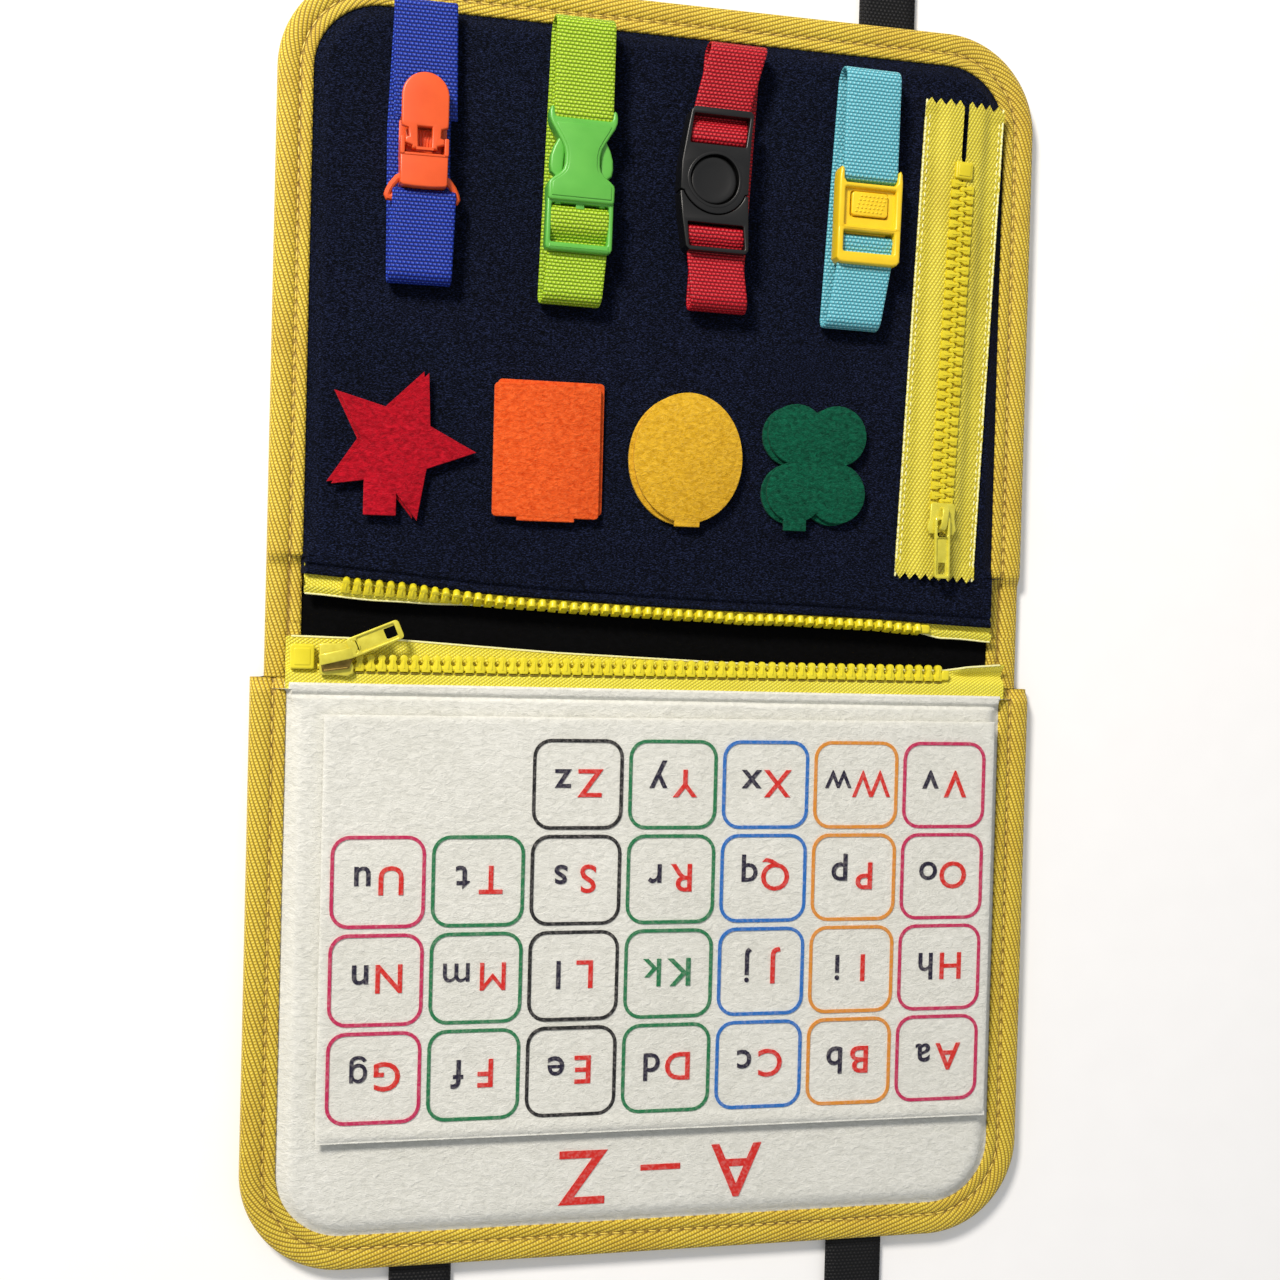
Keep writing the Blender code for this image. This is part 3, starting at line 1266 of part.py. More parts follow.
def lift_up(name, finish, outline_at, tab_low_x, tab_high_x, tab_top, shift_x, shift_y):
    """Two layers of one felt shape. The flap turns about the lower edge of its tab."""
    middle = (tab_low_x + tab_high_x) / 2
    hinge = frame_at(name + "_hinge", (middle, tab_end, page_top + flap_low - clearance / 2),
                     cover_axis)
    low = page_top + felt_low
    base = plate(name + "_base", [outline_at(shift_x, shift_y)], low, low + felt_layer)
    add_object(name + "_base", base, finish, cover_axis)
    low = page_top + flap_low
    flap = add_object(name + "_flap", plate(name + "_flap", [outline_at(0, 0)], low,
                                            low + felt_layer), finish, hinge)
    tab = box(name + "_tab", (tab_low_x, tab_end, low), (tab_high_x, tab_top, low + felt_layer))
    boolean(flap, add_cutter(name + "_tab", tab, hinge), "UNION")


star_x = -0.1035
shape_row = 0.0666
star_radius = 0.0288
star_turn = -3.6
star_tab_low = -0.1160
star_tab_high = -0.1040
star_tab_top = 0.0560
square_x = -0.0481
square_half_x = 0.0203
square_half_y = 0.0250
square_corner = 0.0015
square_tab_half = 0.0110
oval_x = 0.0070
oval_half_x = 0.0215
oval_half_y = 0.0250
oval_tab_half = 0.0050
clover_x = 0.0588
clover_reach_x = 0.0084
clover_reach_y = 0.0112
clover_radius = 0.0118
clover_tab_half = 0.0046
OVAL_STEPS = 32
LOBE_STEPS = 11

lift_up("star", red_felt,
        lambda x, y: star_outline(star_x + x, shape_row + y, star_radius, star_turn),
        star_tab_low, star_tab_high, star_tab_top, -felt_offset, felt_offset / 2)
lift_up("square", orange_felt,
        lambda x, y: rounded(square_x + x, shape_row + y, square_half_x, square_half_y,
                             square_corner, 2),
        square_x - square_tab_half, square_x + square_tab_half, shape_row - square_half_y / 2,
        felt_offset, felt_offset)
lift_up("oval", amber_felt,
        lambda x, y: oval_outline(oval_x + x, shape_row + y, oval_half_x, oval_half_y, OVAL_STEPS),
        oval_x - oval_tab_half, oval_x + oval_tab_half, shape_row - oval_half_y / 2,
        -felt_offset, -felt_offset / 2)
clover_tab_x = clover_x - clover_reach_x
lift_up("clover", green_felt,
        lambda x, y: clover_outline(clover_x + x, shape_row + y, clover_reach_x, clover_reach_y,
                                    clover_radius, LOBE_STEPS),
        clover_tab_x - clover_tab_half, clover_tab_x + clover_tab_half,
        shape_row - clover_reach_y, -felt_offset, -felt_offset / 2)
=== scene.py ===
import math

import bmesh
import bpy
from mathutils import Matrix, Quaternion, Vector, noise


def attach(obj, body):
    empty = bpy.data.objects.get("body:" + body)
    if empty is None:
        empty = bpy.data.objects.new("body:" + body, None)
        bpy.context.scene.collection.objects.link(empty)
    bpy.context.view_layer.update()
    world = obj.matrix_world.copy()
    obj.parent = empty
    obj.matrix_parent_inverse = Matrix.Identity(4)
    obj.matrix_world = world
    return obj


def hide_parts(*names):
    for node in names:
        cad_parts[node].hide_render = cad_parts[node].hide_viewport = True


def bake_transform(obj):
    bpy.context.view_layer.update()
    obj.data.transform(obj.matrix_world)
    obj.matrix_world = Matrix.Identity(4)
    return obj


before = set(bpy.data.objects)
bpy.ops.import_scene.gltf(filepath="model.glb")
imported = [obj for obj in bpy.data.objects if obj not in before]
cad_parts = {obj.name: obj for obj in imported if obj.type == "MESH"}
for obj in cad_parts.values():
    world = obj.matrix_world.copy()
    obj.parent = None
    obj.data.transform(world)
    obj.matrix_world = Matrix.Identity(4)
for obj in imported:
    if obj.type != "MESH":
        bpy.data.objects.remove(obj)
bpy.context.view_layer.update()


# Camera and light. The board is seen from straight above its spine, the camera a little to the
# left and tilted back towards it. One soft lamp stands at the upper left, over a pale floor.
def add_object(name, data):
    made = bpy.data.objects.new(name, data)
    bpy.context.scene.collection.objects.link(made)
    return made


camera = add_object("camera", bpy.data.cameras.new("camera"))
camera.data.sensor_width, camera.data.lens = 36, 47.8
camera.location = (-0.1586, 0.0063, 0.6453)
camera_turn = Vector([math.radians(angle) for angle in (-1.04, -13.2, 1.37)])
camera.rotation_mode = "QUATERNION"
camera.rotation_quaternion = Quaternion(camera_turn.normalized(), camera_turn.length)
bpy.context.scene.camera = camera
bpy.context.scene.view_settings.view_transform = "Standard"


def linear(code):
    """sRGB hex to a linear colour."""
    shares = [int(code[place:place + 2], 16) / 255 for place in (0, 2, 4)]
    return (*[share / 12.92 if share <= 0.04045 else ((share + 0.055) / 1.055) ** 2.4
              for share in shares], 1.0)


def add_node(tree, kind, settings=None, inputs=None):
    """A node with its settings, and its inputs set to values or linked to nodes or sockets."""
    node = tree.nodes.new(kind)
    for name, value in (settings or {}).items():
        setattr(node, name, value)
    for place, value in (inputs or {}).items():
        if isinstance(value, bpy.types.Node):
            value = value.outputs[0]
        if isinstance(value, bpy.types.NodeSocket):
            tree.links.new(value, node.inputs[place])
        else:
            node.inputs[place].default_value = value
    return node


def maths(tree, operation, *values):
    return add_node(tree, "ShaderNodeMath", {"operation": operation}, dict(enumerate(values)))


def ranged(tree, value, low, high, to_low=0.0, to_high=1.0):
    """The value from low to high, spread over a new range and held at its ends."""
    return add_node(tree, "ShaderNodeMapRange", None, {
        "Value": value, "From Min": low, "From Max": high, "To Min": to_low, "To Max": to_high})


lamp = bpy.data.lights.new("key_lamp", "AREA")
lamp.shape, lamp.size, lamp.energy, lamp.color = "DISK", 0.44, 42.5, linear("FFF8EF")[:3]
key_lamp = add_object("key_lamp", lamp)
key_lamp.location = (-0.97, 1.15, 1.30)
key_lamp.rotation_euler = (-key_lamp.location).to_track_quat("-Z", "Y").to_euler()
world = bpy.data.worlds.new("soft studio")
world.use_nodes = True
sky = world.node_tree.nodes["Background"]
sky.inputs["Color"].default_value = linear("F6F8FC")
sky_rays = add_node(world.node_tree, "ShaderNodeLightPath")
seen = maths(world.node_tree, "MAXIMUM", sky_rays.outputs["Is Camera Ray"],
             sky_rays.outputs["Is Transmission Ray"])
world.node_tree.links.new(ranged(world.node_tree, seen, 0.0, 1.0, 0.44, 1.0).outputs[0],
                          sky.inputs["Strength"])
bpy.context.scene.world = world


def new_material(name, **values):
    """A material, its tree and its shader, with constant values on the shader's own sockets."""
    made = bpy.data.materials.new(name)
    made.use_nodes = True
    shader = made.node_tree.nodes["Principled BSDF"]
    for socket, value in values.items():
        shader.inputs[socket.replace("_", " ")].default_value = value
    return made, made.node_tree, shader


def place_in(tree, kind="Object"):
    return add_node(tree, "ShaderNodeTexCoord").outputs[kind]


def cloud(tree, place, scale, detail, **more):
    return add_node(tree, "ShaderNodeTexNoise", None,
                    {"Vector": place, "Scale": scale, "Detail": detail, **more})


def mixed(tree, share, first, second, blend="MIX"):
    """Two colours mixed, each given as sRGB hex or as a node."""
    first, second = [linear(tone) if isinstance(tone, str) else tone for tone in (first, second)]
    return add_node(tree, "ShaderNodeMixRGB", {"blend_type": blend},
                    {"Fac": share, "Color1": first, "Color2": second})


def dress(tree, shader, colour, height=None, strength=0.5, distance=0.001):
    """The shader's colour, and its bump where a height is given."""
    tree.links.new(colour.outputs[0], shader.inputs["Base Color"])
    if height is not None:
        bump = add_node(tree, "ShaderNodeBump", None,
                        {"Strength": strength, "Distance": distance, "Height": height})
        tree.links.new(bump.outputs[0], shader.inputs["Normal"])


def make_piece(name, vertices, faces, finish, uvs=None, crease=None):
    """A closed mesh with its normals outwards. uvs holds one pair for each vertex."""
    mesh = bpy.data.meshes.new(name)
    mesh.from_pydata(vertices, [], faces)
    if uvs:
        layer = mesh.uv_layers.new(name="UVMap")
        for loop in mesh.loops:
            layer.data[loop.index].uv = uvs[loop.vertex_index]
    mesh.materials.append(finish)
    form = bmesh.new()
    form.from_mesh(mesh)
    bmesh.ops.recalc_face_normals(form, faces=form.faces)
    form.to_mesh(mesh)
    form.free()
    mesh.shade_smooth()
    if crease:
        mesh.set_sharp_from_angle(angle=math.radians(crease))
    return add_object(name, mesh)


floor_finish, floor_tree, floor_shader = new_material("matt_paper", Roughness=0.9,
                                                      Emission_Color=(1.0, 1.0, 1.0, 1.0))
floor_grain = cloud(floor_tree, place_in(floor_tree), 60.0, 4.0)
dress(floor_tree, floor_shader, mixed(floor_tree, floor_grain, "F7F7F7", "FCFCFC"))
floor_rays = add_node(floor_tree, "ShaderNodeLightPath").outputs["Is Camera Ray"]
floor_tree.links.new(ranged(floor_tree, floor_rays, 0.0, 1.0, 0.0, 0.07).outputs[0],
                     floor_shader.inputs["Emission Strength"])
floor = make_piece("floor", [(-3, -3, -0.0006), (3, -3, -0.0006), (3, 3, -0.0006),
                             (-3, 3, -0.0006)], [(0, 1, 2, 3)], floor_finish)
floor.data.flip_normals()


# Felt: needle-punched polyester. Clumps of a few millimetres, fine crossing fibres and a dull
# surface, in one material for each colour. The clumps are the real 2 to 3 mm across.
def felt(name, dark, light, fibre, clump=420.0, relief=0.5, specks=0.35, sheen=0.12):
    finish, tree, shader = new_material(name, Roughness=0.95, Sheen_Weight=sheen,
                                        Sheen_Roughness=0.5, Specular_IOR_Level=0.08)
    place = place_in(tree)
    lay, across = [add_node(tree, "ShaderNodeMapping", None, {
        "Vector": place, "Rotation": (0.0, 0.0, turn), "Scale": (1.0, stretch, 1.0)})
        for turn, stretch in ((0.5, 1.7), (-0.7, 3.2))]
    clumps = cloud(tree, lay, clump, 3.0, Roughness=0.6, Distortion=0.6)
    fibres = cloud(tree, across, 1250.0, 2.0, Roughness=0.7)
    body = mixed(tree, ranged(tree, clumps, 0.3, 0.7), dark, light)
    speckled = mixed(tree, ranged(tree, fibres, 0.5, 0.8, 0.0, specks), body, fibre)
    worn = ranged(tree, cloud(tree, place, 22.0, 2.0), 0.3, 0.7, 0.0, 0.16)
    dress(tree, shader, mixed(tree, worn, speckled, dark, "MULTIPLY"),
          maths(tree, "MULTIPLY_ADD", fibres, 0.45, clumps), relief, 0.0007)
    return finish


black_felt = felt("black_hard_felt", "030303", "08080A", "15161C", sheen=0.0, specks=0.2)
navy_felt = felt("navy_felt", "010206", "060911", "46548A", specks=0.55, sheen=0.01)
white_felt = felt("white_felt", "D9D9D0", "EDEDE5", "FFFFFF", clump=330.0, relief=0.8)
red_felt = felt("red_felt", "8A0616", "CA1428", "F04658", relief=0.8, sheen=0.04)
orange_felt = felt("orange_felt", "CE420E", "FA6A2C", "FFA268", relief=0.8, sheen=0.05)
amber_felt = felt("amber_felt", "C2920E", "F0C034", "FFE48C", relief=0.8, sheen=0.05)
green_felt = felt("green_felt", "043424", "0D6246", "46987A", relief=0.8, sheen=0.03)


def mount(piece, body, slot, *nodes):
    """A finished piece moves with its body, and stands for the CAD nodes it replaces."""
    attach(piece, body)
    if nodes:
        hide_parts(*nodes)
    return piece


# Outer covers: one 3 mm sheet of hard black felt, in two halves that meet in the middle of the
# spine. Its rows of points are close together at the two folds beside the spine, where the real
# sheet bends.
COVER_EDGE, CORNER, OUTER_WALL = 0.242, 0.038, 0.003
LOWER_HALF, UPPER_HALF = 0.155, 0.150
LOWER_FOLD = ("lower_cover", "spine", (0, -0.0225, 0.003), (0, -0.0175, 0.003))
UPPER_FOLD = ("spine", "upper_cover", (0, 0.0175, 0.003), (0, 0.0225, 0.003))


def hinge(piece, fold, slot, *nodes):
    """A finished piece, its placement baked into its points, stands for the CAD nodes it replaces.
    """
    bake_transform(piece)
    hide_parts(*nodes)
    return piece


def half_at(y, half, edge, radius):
    """Half the width of a cover with rounded outer corners, at a distance from the spine."""
    over = abs(y) - (edge - radius)
    if over <= 0:
        return half
    return half - radius + math.sqrt(max(radius ** 2 - over ** 2, 0.0))


def smooth(share):
    share = min(max(share, 0.0), 1.0)
    return share * share * (3 - 2 * share)


def sheet_faces(rows, columns):
    """Faces of two layers of points on a grid, closed round their rim."""
    wide, layer = columns + 1, (columns + 1) * rows
    faces = []
    for a in [row * wide + column for row in range(rows - 1) for column in range(columns)]:
        faces.append((a, a + wide, a + wide + 1, a + 1))
        faces.append((layer + a, layer + a + 1, layer + a + wide + 1, layer + a + wide))
    rim = list(range(wide)) + [row * wide + columns for row in range(1, rows)]
    rim += [(rows - 1) * wide + column for column in range(columns - 1, -1, -1)]
    rim += [row * wide for row in range(rows - 2, 0, -1)]
    return faces + [(a, b, layer + b, layer + a) for a, b in zip(rim, rim[1:] + rim[:1])]


def slab(name, rows, columns, half_of, low_of, high_of, finish, y_of=lambda x, y: y):
    """A closed sheet. Each row of points starts from one y, spread over its own width."""
    points = []
    for level in (low_of, high_of):
        for row in rows:
            half = half_of(row)
            for column in range(columns + 1):
                x = half * (2 * column / columns - 1)
                y = y_of(x, row)
                points.append((x, y, level(x, y)))
    return make_piece(name, points, sheet_faces(len(rows), columns), finish, crease=50)


def spread(start, end, step):
    count = max(round(abs(end - start) / step), 1)
    return [start + (end - start) * place / count for place in range(count + 1)]


def cover_rows(start, edge, radius, step):
    """Rows up to a rounded corner, and closer together over it towards the outer edge."""
    return spread(start, edge - radius, step) + [
        edge - radius + radius * math.sin(math.radians(angle)) for angle in range(8, 91, 6)]


outer_edge = COVER_EDGE - 0.0011
outer_rows = spread(0.0, 0.014, 0.007) + spread(0.0155, 0.0265, 0.0011)
outer_rows += cover_rows(0.029, outer_edge, CORNER, 0.006)
for word, side, half, flat_width, fold, nodes in (
        ("lower", -1, LOWER_HALF, 0.310, LOWER_FOLD, ("lower_shell", "spine_shell")),
        ("upper", 1, UPPER_HALF, 0.298, UPPER_FOLD, ("upper_shell",))):
    outer = slab(word + "_outer_felt", [side * y for y in outer_rows], 44,
                 lambda y: half_at(y, half - 0.0011, outer_edge, CORNER) if abs(y) >= 0.0203
                 else UPPER_HALF - 0.0011,
                 lambda x, y: 0.0, lambda x, y: OUTER_WALL, black_felt)
    hinge(outer, fold, "black_felt", *nodes)

# Pages: white felt below, navy felt above, sewn flat under the binding round three sides and
# rising over the pocket's padding. Each page's mouth is turned in to a hem that lies on the zipper
# tape, with a crease beside it. On the real board the hem bends with the tape when it is closed.
LIP, PAGE_LOW, PAGE_TOP, PAGE_WALL, PAGE_INSET = 0.0245, 0.0057, 0.010, 0.0024, 0.005
HEM_LINES = {
    1: ((-0.150, 0.0192), (-0.101, 0.0152), (-0.071, 0.0124), (-0.041, 0.0108), (-0.010, 0.0094),
        (0.022, 0.0083), (0.055, 0.0076), (0.088, 0.0066), (0.114, 0.0052), (0.150, 0.0036)),
    -1: ((-0.155, 0.0219), (-0.041, 0.0224), (0.055, 0.0229), (0.155, 0.0233))}


def along_line(line, x):
    """A value read off a line of (place, value) pairs."""
    x = min(max(x, line[0][0]), line[-1][0])
    for (low, first), (high, last) in zip(line, line[1:]):
        if x <= high:
            return first + (last - first) * (x - low) / (high - low)


def inset_at(x, y, half):
    """How far inside the cover's sewn outline a point lies."""
    over_x, over_y = abs(x) - (half - CORNER), abs(y) - (COVER_EDGE - CORNER)
    if over_x > 0 and over_y > 0:
        return CORNER - math.hypot(over_x, over_y)
    return min(half - abs(x), COVER_EDGE - abs(y))


def page(name, half, side, seed, hem_wall, crease_at, finish):
    radius, far = CORNER - PAGE_INSET, COVER_EDGE - PAGE_INSET
    rows = [LIP * (share - 1.0)
            for share in [0.0, 0.03, 0.06, 0.10] + spread(0.14, 1.0, 0.034)[:-1]]
    rows += spread(LIP, LIP + 0.006, 0.0005) + cover_rows(LIP + 0.0078, far, radius, 0.0020)

    def edge(x):
        return along_line(HEM_LINES[side], x)

    def real_y(x, row):
        return side * (row if row > 0 else LIP + (edge(x) - LIP) * -row / LIP)

    def top(x, y):
        y = abs(y)
        steep = 0.0013 + 0.0052 * smooth((y - LIP) / 0.006)
        rise = smooth((inset_at(x, max(y, LIP), half) - 0.0126) / steep)
        wave = noise.noise(Vector((x * 24, y * 24, seed))) * 0.00035
        wave += noise.noise(Vector((x * 75, y * 75, seed))) * 0.00014
        over = y - edge(x)
        groove = math.exp(-((over - crease_at) / 0.0008) ** 2) * 0.0014
        roll = 0.0005 * (1 - smooth(over / 0.0009))
        band = 0.0002 * (1 - smooth((over - crease_at) / 0.0006)) if over > 0 else 0.0
        height = PAGE_TOP - PAGE_LOW + wave * smooth(over / 0.006) - groove - roll + band
        return PAGE_LOW + height * rise

    def low(x, y):
        return top(x, y) - hem_wall - (PAGE_WALL - hem_wall) * smooth((abs(y) - LIP) / 0.002)

    def half_of(row):
        return half_at(max(row, LIP), half - PAGE_INSET, far, radius) if row > 0 else half - 0.0124

    return slab(name, rows, 150, half_of, low, top, finish, real_y)


lower_page = page("lower_page_felt", LOWER_HALF, -1, 3.0, 0.0008, 0.0044, white_felt)
upper_page = page("upper_page_felt", UPPER_HALF, 1, 7.0, 0.0016, 0.0033, navy_felt)
hinge(lower_page, ("lower_lip", "lower_cover", (0, -0.0238, 0.010), (0, -0.0256, 0.010)),
      "white_felt", "lower_page")
hinge(upper_page, ("upper_lip", "upper_cover", (0, 0.0234, 0.010), (0, 0.0258, 0.010)),
      "navy_felt", "upper_page", "upper_hem")

# Letter card: a loose sheet of thick white felt, held by four hook pads. Its cut edges are square.
CARD_X, CARD_Y, CARD_HALF_X, CARD_HALF_Y, CARD_TOP = 0.0045, -0.11275, 0.13275, 0.07925, 0.0140


def card_curl(y):
    """The near edge has curled up a little, below the last row of frames."""
    return 0.0019 * (1 - smooth((y - CARD_Y + CARD_HALF_Y) / 0.0062))


def card_rise(x, y):
    """The card's top and its slightly worn cut edges."""
    edge = min(CARD_HALF_X - abs(x - CARD_X), CARD_HALF_Y - abs(y - CARD_Y))
    wave = noise.noise(Vector((x * 30, y * 30, 5.0))) * 0.00022 + card_curl(y)
    return CARD_TOP - 0.0003 + wave * smooth(edge / 0.004) - 0.0004 * (1 - smooth(edge / 0.0009))


def card_grid(centre, half):
    """Places across the card, closer together at both edges."""
    return [centre - half + near for near in (0.0, 0.0004, 0.001)] \
        + spread(centre - half + 0.003, centre + half - 0.003, 0.003) \
        + [centre + half - near for near in (0.001, 0.0004, 0.0)]


card_xs, card_ys = card_grid(CARD_X, CARD_HALF_X), card_grid(CARD_Y, CARD_HALF_Y)
card_layer = len(card_xs) * len(card_ys)
letter_card = slab("letter_card_felt", card_ys, len(card_xs) - 1, lambda y: CARD_HALF_X,
                   lambda x, y: 0.0, lambda x, y: 0.0, white_felt)
for index, vertex in enumerate(letter_card.data.vertices):
    vertex.co.x = x = card_xs[index % card_layer % len(card_xs)]
    y = vertex.co.y
    vertex.co.z = card_rise(x, y) if index >= card_layer else CARD_TOP - 0.0022 + card_curl(y)
letter_card.data.update()
mount(letter_card, "letter_card", "white_felt", "letter_card")


# Plates: flat mouldings and cut shapes, from one outline with holes. rim rounds their edges.
def evaluated(holder):
    bpy.context.view_layer.update()
    return bpy.data.meshes.new_from_object(
        holder.evaluated_get(bpy.context.evaluated_depsgraph_get()))


def baked(data):
    """The mesh that a curve or a text makes."""
    holder = add_object(data.name, data)
    mesh = evaluated(holder)
    bpy.data.objects.remove(holder)
    bpy.data.curves.remove(data)
    return mesh


def curve_mesh(lines, closed, **settings):
    curve = bpy.data.curves.new("outline", "CURVE")
    for name, value in settings.items():
        setattr(curve, name, value)
    for line in lines:
        spline = curve.splines.new("POLY")
        spline.points.add(len(line) - 1)
        for point, place in zip(spline.points, line):
            point.co = (*place, 1.0)
        spline.use_cyclic_u = closed
    return baked(curve)


def plate(outlines, low, high, rim, rim_steps=2):
    mesh = curve_mesh([[(x, y, 0.0) for x, y in outline] for outline in outlines], True,
                      dimensions="2D", fill_mode="BOTH", extrude=(high - low) / 2 - rim,
                      bevel_depth=rim, bevel_resolution=rim_steps, offset=-rim)
    mesh.transform(Matrix.Translation((0, 0, (low + high) / 2)))
    return mesh


def merged(name, meshes, weld=False):
    form = bmesh.new()
    for mesh in meshes:
        form.from_mesh(mesh)
        bpy.data.meshes.remove(mesh)
    if weld:
        bmesh.ops.remove_doubles(form, verts=form.verts, dist=0.000004)
        bmesh.ops.recalc_face_normals(form, faces=form.faces)
    made = bpy.data.meshes.new(name)
    form.to_mesh(made)
    form.free()
    return made


def build(name, meshes, finish, body, slot, *nodes, home=Matrix.Identity(4), crease=35):
    """Several closed meshes as one piece, moved to their home on the board and mounted."""
    made = merged(name, meshes, True)
    made.transform(home)
    made.materials.clear()
    made.materials.append(finish)
    for face in made.polygons:
        face.material_index = 0
    made.shade_smooth()
    made.set_sharp_from_angle(angle=math.radians(crease))
    return mount(add_object(name, made), body, slot, *nodes)


def arc(centre_x, centre_y, radius, start, end, steps):
    """Points along an arc, angles in degrees."""
    angles = [math.radians(start + (end - start) * step / steps) for step in range(steps + 1)]
    return [(centre_x + radius * math.cos(angle), centre_y + radius * math.sin(angle))
            for angle in angles]


def rounded(centre_x, centre_y, half_x, half_y, radius, steps=6):
    points = []
    for turn, (side_x, side_y) in enumerate(((1, 1), (-1, 1), (-1, -1), (1, -1))):
        points += arc(centre_x + side_x * (half_x - radius), centre_y + side_y * (half_y - radius),
                      radius, 90 * turn, 90 * turn + 90, steps)
    return points


# Printing on the card: one rounded frame for each letter of the alphabet, capital red and small
# letter navy. It is a thin film of ink, so each print lies just above the felt.
def ink(name, colour):
    finish, tree, shader = new_material(name, Roughness=0.75)
    grain = cloud(tree, place_in(tree), 900.0, 3.0)
    worn = ranged(tree, grain, 0.45, 0.85, 0.0, 0.22)
    dress(tree, shader, mixed(tree, worn, colour, "E9E2DC"), grain, 0.4, 0.0005)
    return finish


INK_LOW, INK_HIGH = CARD_TOP - 0.00045, CARD_TOP + 0.00005
inks = {name: ink(name + "_ink", code) for name, code in (
    ("magenta", "BC1E52"), ("amber", "D6882A"), ("blue", "1B68B8"), ("green", "167244"),
    ("black", "0E0E11"), ("red", "CE1E14"), ("navy", "140E2C"))}
frame_colours = ["magenta", "green", "black", "green", "blue", "amber", "magenta"]
TILE_PITCH, TILE_HALF, LETTER_SIZE = 0.0372, 0.0175, 0.0152


def glyph(letter, x, base, size=LETTER_SIZE, low=INK_LOW, high=INK_HIGH):
    """One letter, turned half round as the whole card is, its foot at the base line."""
    text = bpy.data.curves.new(letter, "FONT")
    text.body, text.size, text.align_x = letter, size, "CENTER"
    text.offset = 0.0 if letter in "MWmw" else 0.00012
    text.extrude, text.resolution_u = (high - low) / 2, 4
    mesh = baked(text)
    mesh.transform(Matrix.Translation((x, base, (low + high) / 2))
                   @ Matrix.Rotation(math.pi, 4, "Z"))
    return mesh


prints = {name: [] for name in inks}
for row, letters in enumerate(("GFEDCBA", "NMLKJIH", "UTSRQPO", "  ZYXWV")):
    for column, letter in enumerate(letters):
        if letter == " ":
            continue
        x, y = -0.1074 + TILE_PITCH * column, -0.168 + (TILE_PITCH - 0.0008) * row
        ring = [rounded(x, y, TILE_HALF, TILE_HALF - 0.0003, 0.0070),
                rounded(x, y, TILE_HALF - 0.0013, TILE_HALF - 0.0016, 0.0057)]
        prints[frame_colours[column]].append(plate(ring, INK_LOW, INK_HIGH, 0.0))
        capital, small = ("green", "green") if letter == "K" else ("red", "navy")
        base, apart = y + 0.0056, 0.0016 if letter in "MW" else 0.0
        lower_case, size = ("\u0261", 0.0128) if letter == "G" else (letter.lower(), LETTER_SIZE)
        prints[capital].append(glyph(letter, x + 0.0048 + apart, base))
        prints[small].append(glyph(lower_case, x - 0.0058 - apart, base, size))
for name, meshes in prints.items():
    build(name + "_print", meshes, inks[name], "letter_card", "white_felt")
heading = [glyph(letter, x, -0.2000, 0.0300, PAGE_TOP - 0.0004, PAGE_TOP + 0.0003)
           for letter, x in (("A", 0.0345), ("–", 0.0040), ("Z", -0.0265))]
build("page_heading_print", heading, inks["red"], "lower_cover", "white_felt")


# Yellow twill: woven binding and zipper tape. Ribs lie at a slant to the tape's edge, with painted
# shade in the valleys between them and a painted highlight on the short floats along each rib. u
# runs along the tape and v across it, both in metres.
def weave(tree, place, stir_scale, stir, slant, axes, rib, float_length):
    """The crests of ribs laid over one axis, and the beads that floats make along them."""
    wobble = cloud(tree, place, stir_scale, 2.0)
    bent = add_node(tree, "ShaderNodeVectorMath", {"operation": "MULTIPLY_ADD"},
                    {0: wobble.outputs["Color"], 1: (stir, stir, 0.0), 2: place})
    turned = add_node(tree, "ShaderNodeVectorRotate", {"rotation_type": "Z_AXIS"},
                      {"Vector": bent, "Angle": -math.radians(slant)})
    parts = add_node(tree, "ShaderNodeSeparateXYZ", None, {0: turned})
    rib_wave, float_wave = [
        maths(tree, "COSINE", maths(tree, "MULTIPLY", parts.outputs[axis], rate))
        for axis, rate in zip(axes, (math.pi / rib, 2 * math.pi / float_length))]
    return maths(tree, "ABSOLUTE", rib_wave), maths(tree, "MULTIPLY", rib_wave, float_wave)


def twill(name, shadow, body_tone, shine, slant=20.0, rib=0.0016, float_length=0.00117,
          stitch_line=None):
    finish, tree, shader = new_material(name, Roughness=0.62, Sheen_Weight=0.15)
    place = place_in(tree, "UV")
    crest, beads = weave(tree, place, 300.0, 0.0004, slant, "YX", rib, float_length)
    # Painted shade: the shadow tone fills the valleys between ribs. Painted highlight: the shine
    # tone lies on the floats' beads.
    woven = mixed(tree, ranged(tree, crest, 0.1, 0.75), shadow, body_tone)
    lit = mixed(tree, ranged(tree, beads, 0.15, 0.95), woven, shine)
    dirt = ranged(tree, cloud(tree, place_in(tree), 45.0, 3.0), 0.45, 0.75, 0.0, 0.35)
    colour = mixed(tree, dirt, lit, body_tone, "MULTIPLY")
    # Painted shade: the tape is darkened along the stitch line, in its groove.
    if stitch_line:
        plain = add_node(tree, "ShaderNodeSeparateXYZ", None, {0: place})
        gap = maths(tree, "ABSOLUTE", maths(tree, "SUBTRACT", plain.outputs["Y"], stitch_line))
        groove = ranged(tree, gap, 0.0002, 0.0011, 0.65, 0.0)
        colour = mixed(tree, groove, colour, "8A6A10", "MULTIPLY")
    dress(tree, shader, colour, maths(tree, "MULTIPLY_ADD", beads, 0.5, crest), 0.6, 0.0003)
    return finish


BINDING, STITCH_INSET, STITCH_PITCH = 0.013, 0.0048, 0.00475
# Tones: painted shade in the rib valleys, the binding's own yellow, painted highlight on the
# floats.
binding_finish = twill("yellow_twill_binding", "83680A", "D4B41E", "FFE968",
                       stitch_line=BINDING - STITCH_INSET)


